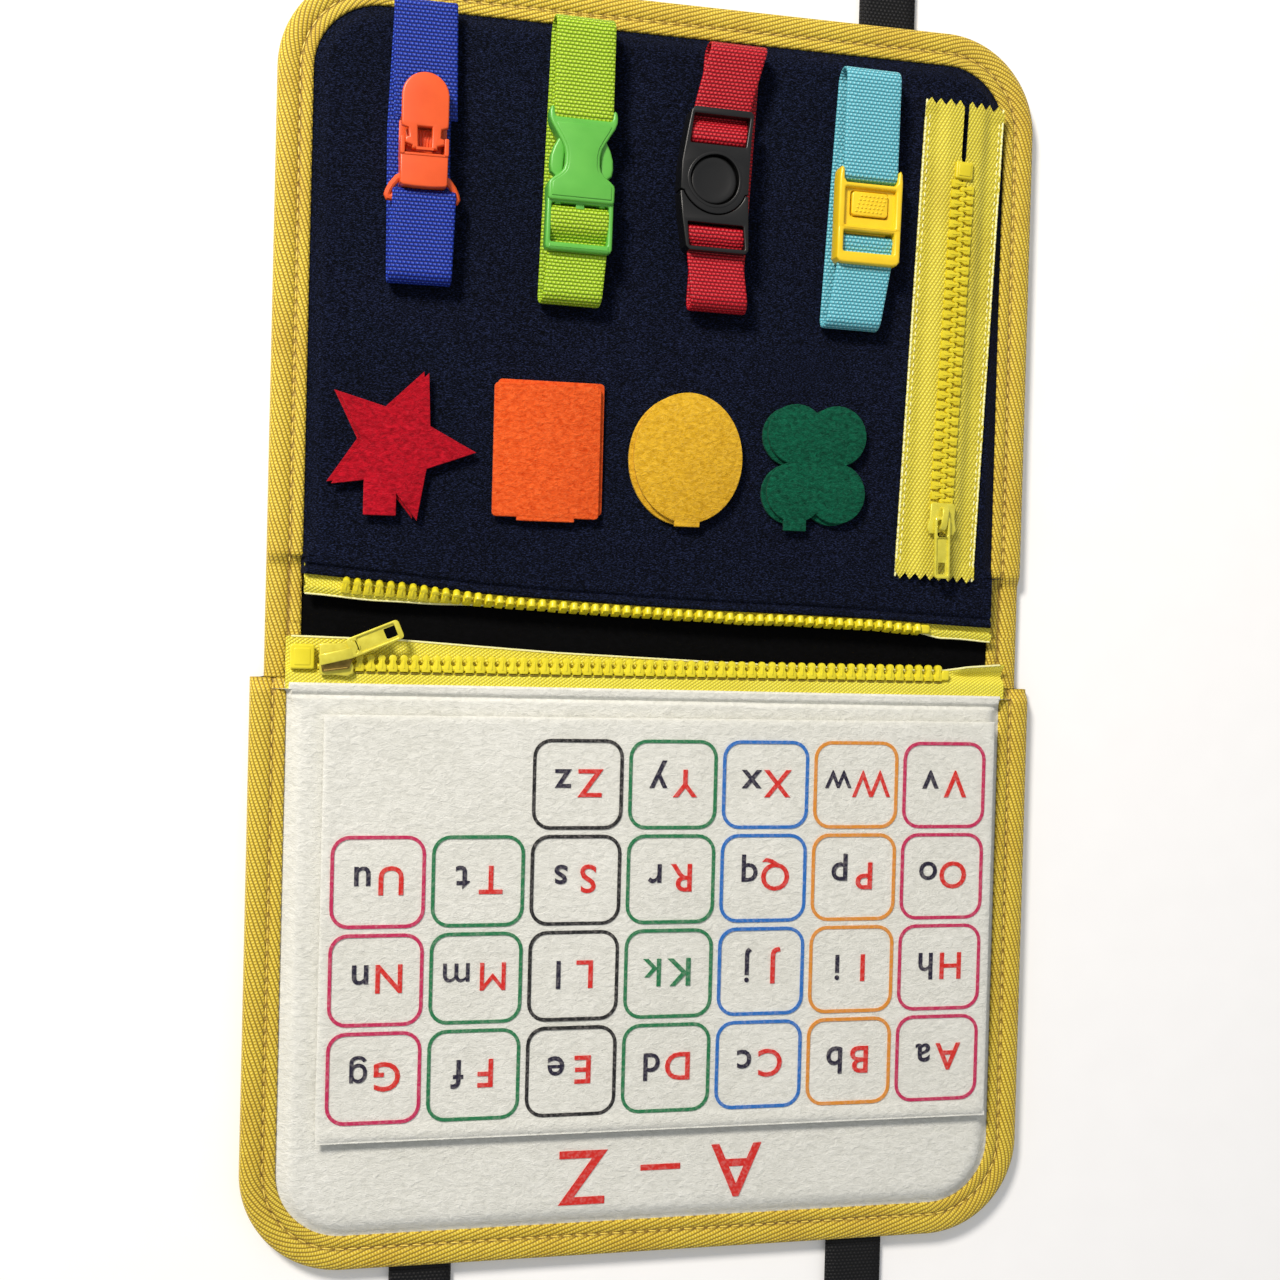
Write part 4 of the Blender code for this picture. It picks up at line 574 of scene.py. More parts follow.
def tube(name, points, count, finish, uvs, crease=60):
    """A closed body through rings of count points each."""
    faces = []
    for ring in range(0, len(points) - count, count):
        for spot in range(count):
            a, b = ring + spot, ring + (spot + 1) % count
            faces.append((a, b, b + count, a + count))
    faces += [tuple(range(count)), tuple(range(len(points) - count, len(points)))]
    return make_piece(name, points, faces, finish, uvs, crease)


def bound(name, path, side, top_at):
    """Folded tape along a path of (point, outward vector, distance). Every side mirrors the weave
    of the one across, so that the ribs slope the same way all round the board."""
    points, uvs = [], []
    for (x, y), (side_x, side_y), distance in path:
        ring = tape_ring(top_at(y), distance)
        points += [(x + side_x * reach, y + side_y * reach, height) for reach, height, _ in ring]
        uvs += [(-side * distance, v) for _, _, v in ring]
    return tube(name, points, len(ring), binding_finish, uvs)


def cover_line(half, start, side, inset, step):
    """Three sides of a cover at an inset, as (point, outward vector, distance)."""
    radius, edge, half = CORNER - inset, COVER_EDGE - inset, half - inset
    line = [((-half, y), (-1, 0)) for y in spread(start, edge - radius, step)]
    turns = max(round(math.pi / 2 * CORNER / step), 4)
    for centre, first in ((-half + radius, 180), (half - radius, 90)):
        if centre > 0:
            line += [((x, edge), (0, 1)) for x in spread(-half + radius, half - radius, step)[1:]]
        for turn in range(1, turns + 1):
            angle = math.radians(first - 90 * turn / turns)
            way = (math.cos(angle), math.sin(angle))
            line.append(((centre + radius * way[0], edge - radius + radius * way[1]), way))
    line += [((half, y), (1, 0)) for y in spread(edge - radius, start, step)[1:]]
    path, distance, before = [], 0.0, line[0][0]
    for (x, y), (way_x, way_y) in line:
        distance += math.dist((x, y), before)
        before = (x, y)
        path.append(((x, side * y), (way_x, side * way_y), distance))
    return path


def tape_ring(top, distance):
    """The folded tape's section from its inner edge over the top, round the fold and under, as
    (reach outwards, height, v)."""
    puff = 0.00022 * (0.5 + 0.5 * math.cos(2 * math.pi * distance / STITCH_PITCH))
    seam_at, fold, tucked = BINDING - STITCH_INSET, top / 2, -BINDING + 0.0006
    ring = [(-BINDING, top - 0.0009, BINDING),
            (-BINDING + 0.0001, top - 0.0002 - puff / 2, BINDING),
            (-BINDING + 0.0009, top + 0.0001, BINDING - 0.0009)]
    ring += [(-seam_at + along, top + rise - puff * dip, seam_at - along)
             for along, rise, dip in ((-0.0016, 0.0002, 0), (-0.0006, -0.0002, 1), (0, -0.0005, 1),
                                      (0.0006, -0.0002, 1), (0.0018, 0.0002, 0))]
    ring += [(-0.0042, top + 0.00035 + puff / 2, 0.0042),
             (-0.0020, top + 0.0001 + puff / 3, 0.0020)]
    for angle in (62, 38, 14, -14, -38, -62):
        ring.append((-0.0011 + 0.0013 * math.cos(math.radians(angle)),
                     fold + (fold - 0.0001) * math.sin(math.radians(angle)),
                     (angle - 62) * 0.00005))
    return ring + [(-0.0020, 0.00005, -0.0070), (tucked, 0.00005, -0.0180),
                   (tucked, 0.0009, -0.0190), (-0.0016, 0.0009, -0.0200),
                   (-0.0016, top - 0.0009, -0.0210)]


def binding_top(y):
    """The tape lies lower over the bare spine than over the padded pages."""
    return 0.0041 + 0.0027 * smooth((abs(y) - 0.0205) / 0.0055)


upper_binding = hinge(bound("upper_binding_tape", cover_line(UPPER_HALF, -0.0002, 1, 0.0, 0.0009),
                            1, binding_top), UPPER_FOLD, "yellow_twill", "upper_binding")
lower_binding = mount(bound("lower_binding_tape", cover_line(LOWER_HALF, 0.02045, -1, 0.0, 0.0009),
                            -1, binding_top), "lower_cover", "yellow_twill", "lower_binding")
for side, word in ((-1, "left"), (1, "right")):
    path = [((side * UPPER_HALF, -y), (side, 0), y) for y in spread(-0.0004, 0.0202, 0.0009)]
    tape = hinge(bound("spine_tape_" + word, path, side, lambda y: 0.0041), LOWER_FOLD,
                 "yellow_twill", "spine_binding_" + word)

# One tree lays copies of a small piece along a line: stitches and zipper teeth. Each copy turns
# to the line's direction, with a little chance in its angle.
copies = bpy.data.node_groups.new("copies_along_a_line", "GeometryNodeTree")
copies.is_modifier = True
for label, kind in (("Line", "Geometry"), ("Shape", "Object"), ("Count", "Int"),
                    ("Chance", "Float"), ("Finish", "Material"), ("Row", "Geometry")):
    copies.interface.new_socket(name=label, in_out="OUTPUT" if label == "Row" else "INPUT",
                                socket_type="NodeSocket" + kind)
given = add_node(copies, "NodeGroupInput")
as_curve = add_node(copies, "GeometryNodeMeshToCurve", None, {0: given.outputs["Line"]})
spaced = add_node(copies, "GeometryNodeResampleCurve", None,
                  {"Curve": as_curve, "Count": given.outputs["Count"]})
tangent = add_node(copies, "GeometryNodeInputTangent")
facing = add_node(copies, "FunctionNodeAlignRotationToVector", {"axis": "X", "pivot_axis": "Z"},
                  {"Vector": tangent})
jitter = add_node(copies, "FunctionNodeRandomValue", {"data_type": "FLOAT_VECTOR"},
                  {0: (-1.0, -1.0, -1.0), 1: (1.0, 1.0, 1.0)})
twist = add_node(copies, "GeometryNodeInputNamedAttribute", {"data_type": "FLOAT"},
                 {"Name": "twist"})
twist_turn = add_node(copies, "ShaderNodeCombineXYZ", None, {"X": twist})
tilt = add_node(copies, "ShaderNodeVectorMath", {"operation": "MULTIPLY_ADD"},
                {0: jitter, 1: given.outputs["Chance"], 2: twist_turn})
turned = add_node(copies, "FunctionNodeRotateRotation", {"rotation_space": "LOCAL"},
                  {0: facing, 1: tilt})
shape = add_node(copies, "GeometryNodeObjectInfo", None, {"Object": given.outputs["Shape"]})
placed = add_node(copies, "GeometryNodeInstanceOnPoints", None,
                  {"Points": spaced, "Instance": shape.outputs["Geometry"], "Rotation": turned})
realized = add_node(copies, "GeometryNodeRealizeInstances", None, {0: placed})
coated = add_node(copies, "GeometryNodeSetMaterial", None,
                  {"Geometry": realized, "Material": given.outputs["Finish"]})
add_node(copies, "NodeGroupOutput", None, {"Row": coated})


def row_of(shape_mesh, line, count, chance, finish, twists=None):
    """Copies of a shape along a line, as one mesh. twists turn them about the line."""
    shape_holder = add_object("shape", shape_mesh)
    path = bpy.data.meshes.new("line")
    path.from_pydata(line, [(index, index + 1) for index in range(len(line) - 1)], [])
    if twists:
        path.attributes.new("twist", "FLOAT", "POINT").data.foreach_set("value", twists)
    holder = add_object("line", path)
    modifier = holder.modifiers.new("copies", "NODES")
    modifier.node_group = copies
    values = {"Shape": shape_holder, "Count": count, "Chance": chance, "Finish": finish}
    for item in copies.interface.items_tree:
        if item.in_out == "INPUT" and item.name in values:
            modifier[item.identifier] = values[item.name]
    holder.update_tag()
    mesh = evaluated(holder)
    holder.modifiers.remove(modifier)
    for item in (holder, shape_holder):
        bpy.data.objects.remove(item)
    return mesh


def capsule(length, radius_y, radius_z):
    """A short rounded thread along X, as a stitch between two needle holes."""
    form = bmesh.new()
    bmesh.ops.create_uvsphere(form, u_segments=8, v_segments=6, radius=1.0)
    for vertex in form.verts:
        along, x, y = vertex.co.z, vertex.co.x, vertex.co.y
        vertex.co = (math.copysign(abs(along) ** 0.7, along) * length / 2, x * radius_y,
                     y * radius_z)
    mesh = bpy.data.meshes.new("stitch")
    form.to_mesh(mesh)
    form.free()
    return mesh


# Stitches of the binding: thick yellow thread in a groove, one stitch for every 4.75 mm.
def clouded(name, dark, light, scale, detail=3.0, **values):
    """A plain material with a cloudy mixture of two tones."""
    finish, tree, shader = new_material(name, **values)
    dress(tree, shader, mixed(tree, cloud(tree, place_in(tree), scale, detail), dark, light))
    return finish


def thread(name, body_tone, shine):
    return clouded(name, body_tone, shine, 1400.0, 1.0, Roughness=0.45)


binding_thread = thread("yellow_sewing_thread", "D9A81A", "FFF07A")
for word, half, side in (("upper", UPPER_HALF, 1), ("lower", LOWER_HALF, -1)):
    line = [(x, y, binding_top(y) - 0.0004) for (x, y), _, _ in
            cover_line(half, 0.0240, side, BINDING - STITCH_INSET, 0.002)]
    total = sum(math.dist(a, b) for a, b in zip(line, line[1:]))
    stitches = row_of(capsule(0.0034, 0.00030, 0.00020), line, int(total / STITCH_PITCH), 0.06,
                      binding_thread)
    build(word + "_binding_stitches", [stitches], binding_thread, word + "_cover", "yellow_twill",
          crease=80)


# Webbing: plain-woven polypropylene, floats in staggered rows, with a painted highlight on the
# floats and painted shade between the rows. u runs along the strap and v across it, in metres. The
# weave is a little coarser than the real 1.1 mm, to be seen at all.
def webbing(name, shadow, body_tone, shine, gloss=0.5):
    finish, tree, shader = new_material(name, Roughness=gloss, Specular_IOR_Level=0.3)
    crest, beads = weave(tree, place_in(tree, "UV"), 260.0, 0.0005, 0.0, "XY", 0.00135, 0.00160)
    # Painted shade: the shadow tone fills the dips between rows. Painted highlight: the shine tone
    # lies on the floats.
    woven = mixed(tree, ranged(tree, crest, 0.1, 0.8), shadow, body_tone)
    lit = mixed(tree, ranged(tree, beads, 0.35, 1.0, 0.0, 0.8), woven, shine)
    dress(tree, shader, lit, maths(tree, "MULTIPLY_ADD", beads, 0.6, crest), 0.7, 0.00035)
    return finish


WEBBING_EDGE = ((-1.0, 0.0), (-0.985, 0.75), (-0.93, 1.0), (-0.6, 0.93), (-0.2, 0.93),
                (0.2, 0.93), (0.6, 0.93), (0.93, 1.0), (0.985, 0.75), (1.0, 0.0))
WALL = 0.0012
LAY = 0.0003 + WALL / 2


def ribbon(name, path, width, home, finish, drift):
    """Webbing along a path of (y, z) points, its width along X, its edges rounded. drift says how
    far it lies to the side."""
    path, half, distance, points, uvs = eased(path), width / 2, 0.0, [], []
    ring = list(WEBBING_EDGE) + [(share, -rise) for share, rise in WEBBING_EDGE[-2:0:-1]]
    for index, here in enumerate(path):
        before, after = path[max(index - 1, 0)], path[min(index + 1, len(path) - 1)]
        way = (Vector(after) - Vector(before)).normalized()
        normal = Vector((-way.y, way.x))
        distance += math.dist(here, before)
        for share, rise in ring:
            place = Vector(here) + normal * (WALL / 2) * rise
            points.append(home @ Vector((share * half + drift(*here), place.x, place.y)))
            uvs.append((distance, share * half))
    return tube(name, points, len(ring), finish, uvs)


def eased(path, step=0.0015):
    """Points added along the straight parts of a path."""
    made = [path[0]]
    for before, after in zip(path, path[1:]):
        count = max(int(math.dist(before, after) / step), 1)
        made += [tuple(Vector(before).lerp(Vector(after), place / count))
                 for place in range(1, count + 1)]
    return made


# Straps: four lengths of 23 mm webbing. Each lies on the page, folds over at its top end, runs
# down to its buckle, and comes up again from a fold at its lower end, threaded through the plug.
# They are sewn down by hand, so the two layers lie a few millimetres apart sideways.
# Each webbing's tones: painted shade, its own colour, painted highlight.
blue_webbing = webbing("blue_webbing", "050C42", "0F2C9C", "4A74E6")
lime_webbing = webbing("lime_webbing", "506E06", "A2C81A", "E6F86C")
red_webbing = webbing("red_webbing", "560009", "B8061C", "F2444E")
sky_webbing = webbing("sky_webbing", "2E7886", "66BCCC", "BFF2FA")
black_webbing = webbing("black_webbing", "020203", "09090B", "1E1E22", gloss=0.6)


def place_at(x, y, z, lean=0.0):
    return Matrix.Translation((x, y, z)) @ Matrix.Rotation(math.radians(lean), 4, "Z")


def fold_over(end, low, high):
    radius = (high - low) / 2
    return arc(end - radius, low + radius, radius, 90, -90, 18)


def fold_under(end, low, high):
    radius = (high - low) / 2
    return arc(end + radius, low + radius, radius, -90, -270, 18)


def round_bar(bar_y, low, high, side):
    return arc(bar_y, (low + high) / 2, (high - low) / 2 + LAY, 90, 90 - side * 180, 14)


def sideways(high, low_line, high_line):
    """How far a strap lies to the side, from a line for its layer on the page and one for the
    layer above, each of (y, shift) pairs."""
    def drift(y, z):
        share = smooth((z - LAY) / (high - LAY))
        return along_line(low_line, y) * (1 - share) + along_line(high_line, y) * share
    return drift


def strap_pair(word, plug, slot, width, finish, home, top, low_end, high, start, under, weft,
               lines):
    """The strap and its threaded tail, which moves with the plug of the buckle."""
    bottom = low_end + (under - LAY) / 2
    for piece, path, level, body in (
            ("strap", start + fold_over(top, LAY, high) + [(bottom + 0.0021, LAY)], high,
             "upper_cover"),
            ("tail", [(bottom + 0.0020, LAY)] + fold_under(low_end, LAY, under) + weft, under,
             plug)):
        mount(ribbon(word + "_" + piece + "_webbing", path, width, home, finish,
                     sideways(level, *lines)), body, slot, word + "_" + piece)


green_home, green_mid = place_at(-0.0404, 0.1570, PAGE_TOP, -1), 0.0090
green_start = [(0.0444, green_mid - 0.0014 - LAY)]
green_start += list(reversed(round_bar(0.0344, green_mid - 0.0014, green_mid + 0.0014, -1)))
green_under = green_mid + 0.0008 - LAY
green_weft = [(-0.0152, green_under - 0.0004), (-0.0138, green_under - 0.0016),
              (-0.0122, green_mid - 0.0016), (-0.0104, green_mid - 0.0001),
              (-0.0082, green_mid + 0.0018), (-0.0064, green_mid + 0.0022)]
green_weft += round_bar(-0.0024, green_mid - 0.0016, green_mid + 0.0014, 1)
green_weft.append((-0.0074, green_mid - 0.0016 - LAY))
strap_pair("green", "green_plug", "lime_webbing", 0.0226, lime_webbing, green_home, 0.0713, -0.0350,
           green_mid + 0.0014 + LAY, green_start, green_under, green_weft,
           (((-0.035, -0.0005), (0.0713, 0.0008)),
            ((-0.035, 0.0000), (-0.018, 0.0012), (0.036, 0.0012), (0.0713, 0.0008))))

black_home, black_high = place_at(0.0168, 0.1710, PAGE_TOP, -1), 0.0114 - LAY
red_start = [(0.0300, 0.0084 - LAY)] + list(reversed(round_bar(0.0162, 0.0084, 0.0108, -1)))
red_start += [(0.0186, 0.0108 + LAY), (0.0212, 0.0104), (0.0236, 0.0084), (0.0275, 0.0084)]
red_weft = [(-0.0290, 0.0092), (-0.0256, 0.0088), (-0.0240, 0.0098), (-0.0219, 0.0108 + LAY)]
red_weft += round_bar(-0.0195, 0.0084, 0.0108, 1) + [(-0.0300, 0.0084 - LAY)]
strap_pair("red", "black_plug", "red_webbing", 0.0222, red_webbing, black_home, 0.0535, -0.0480,
           black_high, red_start, black_high, red_weft,
           (((-0.048, 0.0000), (0.0535, 0.0034)),
            ((-0.048, 0.0000), (-0.028, -0.0026), (-0.010, -0.0040), (0.010, -0.0040),
             (0.027, -0.0026), (0.0535, 0.0040))))

yellow_home, sky_under = place_at(0.0708, 0.1580, PAGE_TOP, -1), 0.0090 - LAY
sky_start = [(0.0310, 0.0068 - LAY)] + list(reversed(round_bar(0.0210, 0.0068, 0.0092, -1)))
sky_weft = [(-0.0120, sky_under), (-0.0088, 0.0082)] + round_bar(-0.0046, 0.0056, 0.0080, 1)
sky_weft.append((-0.0100, 0.0056 - LAY))
strap_pair("sky", "yellow_plug", "sky_webbing", 0.0224, sky_webbing, yellow_home, 0.0625, -0.0380,
           0.0092 + LAY, sky_start, sky_under, sky_weft,
           (((-0.038, 0.0002), (0.0615, 0.0040)),
            ((-0.038, 0.0002), (-0.014, 0.0038), (0.023, 0.0042), (0.0615, 0.0040))))

clip_home = place_at(-0.0980, 0.1710, PAGE_TOP)
clip_high, wire_low, wire_high = 0.0048 + LAY, 0.0065 - 0.0013, 0.0065 + 0.0013
blue_path = [(0.0152, clip_high)] + fold_over(0.0585, LAY, clip_high)
blue_path += fold_under(-0.0450, LAY, wire_high + LAY)
blue_path += round_bar(-0.0138, wire_low, wire_high, 1) + [(-0.0280, wire_low - LAY)]
mount(ribbon("blue_strap_webbing", blue_path, 0.0234, clip_home, blue_webbing,
             sideways(clip_high, ((-0.045, 0.0002), (0.012, -0.0006), (0.0585, 0.0012)),
                      ((-0.045, 0.0002), (-0.014, 0.0012), (0.0150, 0.0014), (0.0585, 0.0006)))),
      "upper_cover", "blue_webbing", "blue_strap")


# Buckles and clip: injection-moulded acetal and nylon, satin, with softly rounded rims. The
# moulded bodies are built here from plates, in place of the imported parts.
def moulded(name, deep, body_tone, gloss=0.38):
    finish, tree, shader = new_material(
        name, Roughness=gloss, Coat_Weight=0.15, Coat_Roughness=0.3, Subsurface_Weight=0.05,
        Subsurface_Radius=(0.001, 0.001, 0.001))
    place = place_in(tree)
    dress(tree, shader, mixed(tree, cloud(tree, place, 110.0, 3.0), deep, body_tone),
          cloud(tree, place, 2400.0, 2.0), 0.12, 0.0001)
    return finish


orange_plastic = moulded("orange_acetal", "DA4C16", "F06026")
green_plastic = moulded("green_acetal", "54AA3C", "6ABE4C")
black_plastic = moulded("black_nylon", "050505", "0A0A0A", 0.42)
yellow_plastic = moulded("yellow_acetal", "EFC40E", "FAD628")


def mirrored(right):
    """A symmetrical outline from its right half, lowest point first."""
    return right + [(-x, y) for x, y in reversed(right)]


def tile(box, low, high, rim, rim_steps=2):
    """A plate with rounded corners, from (centre x, centre y, half x, half y, radius, steps)."""
    return plate([rounded(*box)], low, high, rim, rim_steps)


def bar(centre_y, half_x, half_y, low, high, rim=0.0009):
    return tile((0.0, centre_y, half_x, half_y, min(half_y, 0.0008) * 0.9, 3), low, high, rim)


def disc(radius):
    return arc(0.0, 0.0, radius, 0, 360, 48)[:-1]


def wire_mesh(points, radius, steps=2):
    """A round thread or wire along points, closed at both ends."""
    return curve_mesh([points], False, dimensions="3D", bevel_depth=radius,
                      bevel_resolution=steps, use_fill_caps=True)


# Side-release buckle: a hollow hourglass body, two springy prongs seen in its waist, and a ladder
# plug below with the strap humped over its bar. Its upper corners are ears beside the strap.
green_place = green_home @ Matrix.Translation((0.0012, 0, 0))
hourglass = mirrored([
    (0.0119, 0.0018), (0.0125, 0.0026), (0.0126, 0.0076), (0.0122, 0.0088), (0.0108, 0.0101),
    (0.0084, 0.0118), (0.0071, 0.0134), (0.0066, 0.0154), (0.0066, 0.0190), (0.0071, 0.0214),
    (0.0084, 0.0240), (0.0103, 0.0272), (0.0120, 0.0300), (0.0128, 0.0322), (0.0129, 0.0345),
    (0.0125, 0.0362), (0.0118, 0.0368), (0.0112, 0.0362), (0.0110, 0.0340), (0.0106, 0.0330),
    (0.0098, 0.0327)])
panel = mirrored([
    (0.0112, 0.0032), (0.0112, 0.0080), (0.0098, 0.0092), (0.0072, 0.0112), (0.0058, 0.0132),
    (0.0053, 0.0154), (0.0053, 0.0190), (0.0059, 0.0218), (0.0074, 0.0248), (0.0094, 0.0282),
    (0.0104, 0.0305)])
green_body = [plate([hourglass], 0.0042, 0.0134, 0.0009, 3), plate([panel], 0.0128, 0.0138, 0.0003)]
for vertex in [vertex for mesh in green_body for vertex in mesh.vertices]:
    thinned = 0.36 * max((vertex.co.y - 0.0205) / 0.0165, 0.0)
    vertex.co.z = green_mid + (vertex.co.z - green_mid) * (1 - thinned)
green_body.append(bar(0.0344, 0.0115, 0.0014, green_mid - 0.0014, green_mid + 0.0014, 0.0004))
build("green_buckle_body", green_body, green_plastic, "upper_cover", "green_plastic",
      "green_socket", home=green_place)
prong = [(0.0072, 0.0006), (0.0096, 0.0006), (0.0098, 0.0110), (0.0116, 0.0126), (0.0120, 0.0150),
         (0.0118, 0.0185), (0.0108, 0.0218), (0.0094, 0.0246), (0.0080, 0.0266), (0.0069, 0.0258),
         (0.0066, 0.0200), (0.0072, 0.0120)]
for side, word in ((-1, "left"), (1, "right")):
    build("green_buckle_prong_" + word,
          [plate([[(side * x, y) for x, y in prong]], green_mid - 0.0024, green_mid + 0.0024,
                 0.0009, 3)],
          green_plastic, "green_prong_" + word, "green_plastic", "green_prong_" + word,
          home=green_place)
ladder = mirrored([(0.0106, -0.0164), (0.0121, -0.0160), (0.0127, -0.0148), (0.0126, 0.0030)])
build("green_buckle_plug", [
    plate([ladder, rounded(0.0, -0.0062, 0.0108, 0.0074, 0.0008, 3)], green_mid - 0.0026,
          green_mid + 0.0030, 0.0008, 3),
    bar(-0.0030, 0.0112, 0.0016, green_mid - 0.0016, green_mid + 0.0014, 0.0004),
    bar(-0.0149, 0.0118, 0.0014, green_mid + 0.0004, green_mid + 0.0032, 0.001),
    tile((0.0, 0.0100, 0.0016, 0.0110, 0.0004, 2), green_mid - 0.0022, green_mid + 0.0022,
         0.0003)],
    green_plastic, "green_plug", "green_plastic", "green_plug", home=green_place)

# Centre-release buckle: two halves of a barrel-shaped plate that meet in an arc below the round
# button. The button lies in a well, a little dished, and each end has a slot with a bar. The
# halves sit a few degrees askew in their joint, so the buckle bows to one side.
black_place = black_home @ Matrix.Translation((-0.0026, 0, 0))
BLACK_TOP, SLOT_HALF, RING = 0.0136, 0.0109, 48


def bowed(mesh):
    for vertex in mesh.vertices:
        vertex.co.x -= 0.0024 * (1 - min(abs(vertex.co.y) / 0.027, 1.0) ** 1.4)
    return mesh


upper_half = arc(0.0, 0.0, 0.0128, -158, -22, 24) + [
    (0.0133, -0.0044), (0.0133, 0.0060), (0.0126, 0.0180), (0.0122, 0.0255), (0.0110, 0.0270),
    (-0.0110, 0.0270), (-0.0122, 0.0255), (-0.0126, 0.0180), (-0.0133, 0.0060),
    (-0.0133, -0.0044)]
lower_half = arc(0.0, 0.0, 0.0131, -158, -22, 24) + [
    (0.0134, -0.0052), (0.0130, -0.0150), (0.0123, -0.0256), (0.0110, -0.0270),
    (-0.0110, -0.0270), (-0.0123, -0.0256), (-0.0130, -0.0150), (-0.0134, -0.0052)]
black_body = [plate([upper_half, rounded(0.0, 0.0188, SLOT_HALF, 0.0056, 0.0005, 3), disc(0.0095)],
                    0.0042, BLACK_TOP, 0.0005),
              plate([disc(0.0098)], 0.0045, 0.0072, 0.0002, 1),
              bar(0.0174, 0.0113, 0.0012, 0.0084, 0.0108),
              plate([disc(0.0107), disc(0.0095)], BLACK_TOP - 0.0006, BLACK_TOP + 0.0002, 0.00025)]
black_lower = [plate([lower_half, rounded(0.0, -0.0209, SLOT_HALF, 0.0045, 0.0005, 3)], 0.0042,
                     BLACK_TOP - 0.0003, 0.0005),
               bar(-0.0207, 0.0113, 0.0012, 0.0084, 0.0108),
               tile((0.0, -0.0050, 0.0078, 0.0100, 0.0010, 3), 0.0065, 0.0082, 0.0003)]
for word, meshes, body, node in (("body", black_body, "upper_cover", "black_socket"),
                                 ("plug", black_lower, "black_plug", "black_plug")):
    build("black_buckle_" + word, [bowed(mesh) for mesh in meshes], black_plastic, body,
          "black_plastic", node, home=black_place)
button_points, button_faces = [(0.0, 0.0, 0.0119)], []
for radius, height in ((0.0040, 0.0120), (0.0066, 0.0122), (0.0080, 0.0125), (0.0087, 0.0124),
                       (0.0091, 0.0119), (0.0092, 0.0106)):
    button_points += [(x, y, height) for x, y in disc(radius)]
for step in range(RING):
    button_faces.append((0, 1 + step, 1 + (step + 1) % RING))
    for ring in range(1, len(button_points) - RING, RING):
        a, b = ring + step, ring + (step + 1) % RING
        button_faces.append((a, a + RING, b + RING, b))
button_faces.append(tuple(len(button_points) - 1 - step for step in range(RING)))
button_place = black_place @ Matrix.Translation((-0.0024, 0, 0))
mount(make_piece("black_buckle_button", [button_place @ Vector(point) for point in button_points],
                 button_faces, black_plastic, crease=50),
      "black_button", "black_plastic", "black_button")

# Push-button buckle: thick rounded rails round a sunken panel, a dimpled rectangular button in the
# panel, and a ladder plug that continues the rails. Small ears stand beside the strap on top.
yellow_place = yellow_home @ Matrix.Translation((0.0042, 0, 0))
YELLOW_TOP = 0.0118
rails = mirrored([(0.0129, -0.0006), (0.0130, 0.0185), (0.0127, 0.0220), (0.0120, 0.0232),
                  (0.0111, 0.0224), (0.0109, 0.0186), (0.0100, 0.0172)])
build("yellow_buckle_body", [
    plate([rails, rounded(0.0, 0.0080, 0.0104, 0.0074, 0.0006, 3)], 0.0042, YELLOW_TOP, 0.0009, 3),
    plate([rounded(0.0, 0.0078, 0.0108, 0.0078, 0.0003, 2),
           rounded(0.0, 0.0094, 0.0077, 0.0050, 0.0012, 4)], 0.0050, YELLOW_TOP - 0.0022, 0.0004),
    tile((0.0, 0.0080, 0.0106, 0.0074, 0.0003, 2), 0.0045, 0.0080, 0.0002, 1),
    bar(0.0210, 0.0113, 0.0012, 0.0068, 0.0092)],
    yellow_plastic, "upper_cover", "yellow_plastic", "yellow_socket", home=yellow_place)
dimples = [tile((0.0, 0.0094, 0.0073, 0.0046, 0.0012, 4), 0.0089, YELLOW_TOP - 0.0010, 0.0004)]
for row in range(5):
    line = [(x + 0.0005 * row, 0.0064 + 0.0015 * row, YELLOW_TOP - 0.00105)
            for x in (-0.0056, 0.0044)]
    dimples.append(row_of(capsule(0.0011, 0.00042, 0.00042), line, 7, 0.0, yellow_plastic))
build("yellow_buckle_button", dimples, yellow_plastic, "yellow_button", "yellow_plastic",
      "yellow_button", home=yellow_place)
ladder = mirrored([(0.0100, -0.0138), (0.0118, -0.0134), (0.0129, -0.0120), (0.0129, 0.0008)])
build("yellow_buckle_plug", [
    plate([ladder, rounded(0.0, -0.0053, 0.0104, 0.0041, 0.0006, 3)], 0.0042,
          YELLOW_TOP - 0.0001, 0.0009, 3),
    bar(-0.0058, 0.0108, 0.0012, 0.0056, 0.0080),
    tile((0.0, 0.0060, 0.0086, 0.0078, 0.0010, 3), 0.0058, 0.0072, 0.0003)],
    yellow_plastic, "yellow_plug", "yellow_plastic", "yellow_plug", home=yellow_place)

# Lever clip: a round-topped lever hinged between two ears of a block, with a window that shows the
# ribbed jaw, and a wire loop from the block that the strap turns round.
clip_place = clip_home @ Matrix.Translation((0.0006, 0, 0))
foot = [(0.0046, 0.0022), (0.0046, 0.0034), (0.0072, 0.0042), (0.0072, 0.0062), (0.0058, 0.0066),
        (0.0060, 0.0096), (0.0084, 0.0104)]
lever_outline = foot + [(0.0086, 0.0120)] + arc(0.0, 0.0216, 0.0086, 0, 180, 24)
lever_outline += [(-0.0086, 0.0120)] + [(-x, y) for x, y in reversed(foot)]
window = [(0.0024, 0.0026), (0.0027, 0.0104), (-0.0027, 0.0104), (-0.0024, 0.0026)]
lever = [plate([lever_outline, window], 0.0102, 0.0128, 0.0007, 3),
         tile((0.0, 0.0150, 0.0084, 0.0040, 0.0006, 2), 0.0092, 0.0112, 0.0003)]
jaw_line = [(-0.0026, 0.0066, 0.0081), (0.0026, 0.0066, 0.0081)]
jaw = [tile((0.0, 0.0062, 0.0066, 0.0042, 0.0006, 2), 0.0070, 0.0080, 0.0003),
       row_of(capsule(0.0004, 0.0040, 0.0004), jaw_line, 6, 0.0, orange_plastic)]
block = mirrored([(0.0030, -0.0112), (0.0078, -0.0108), (0.0086, -0.0100), (0.0087, 0.0008)])
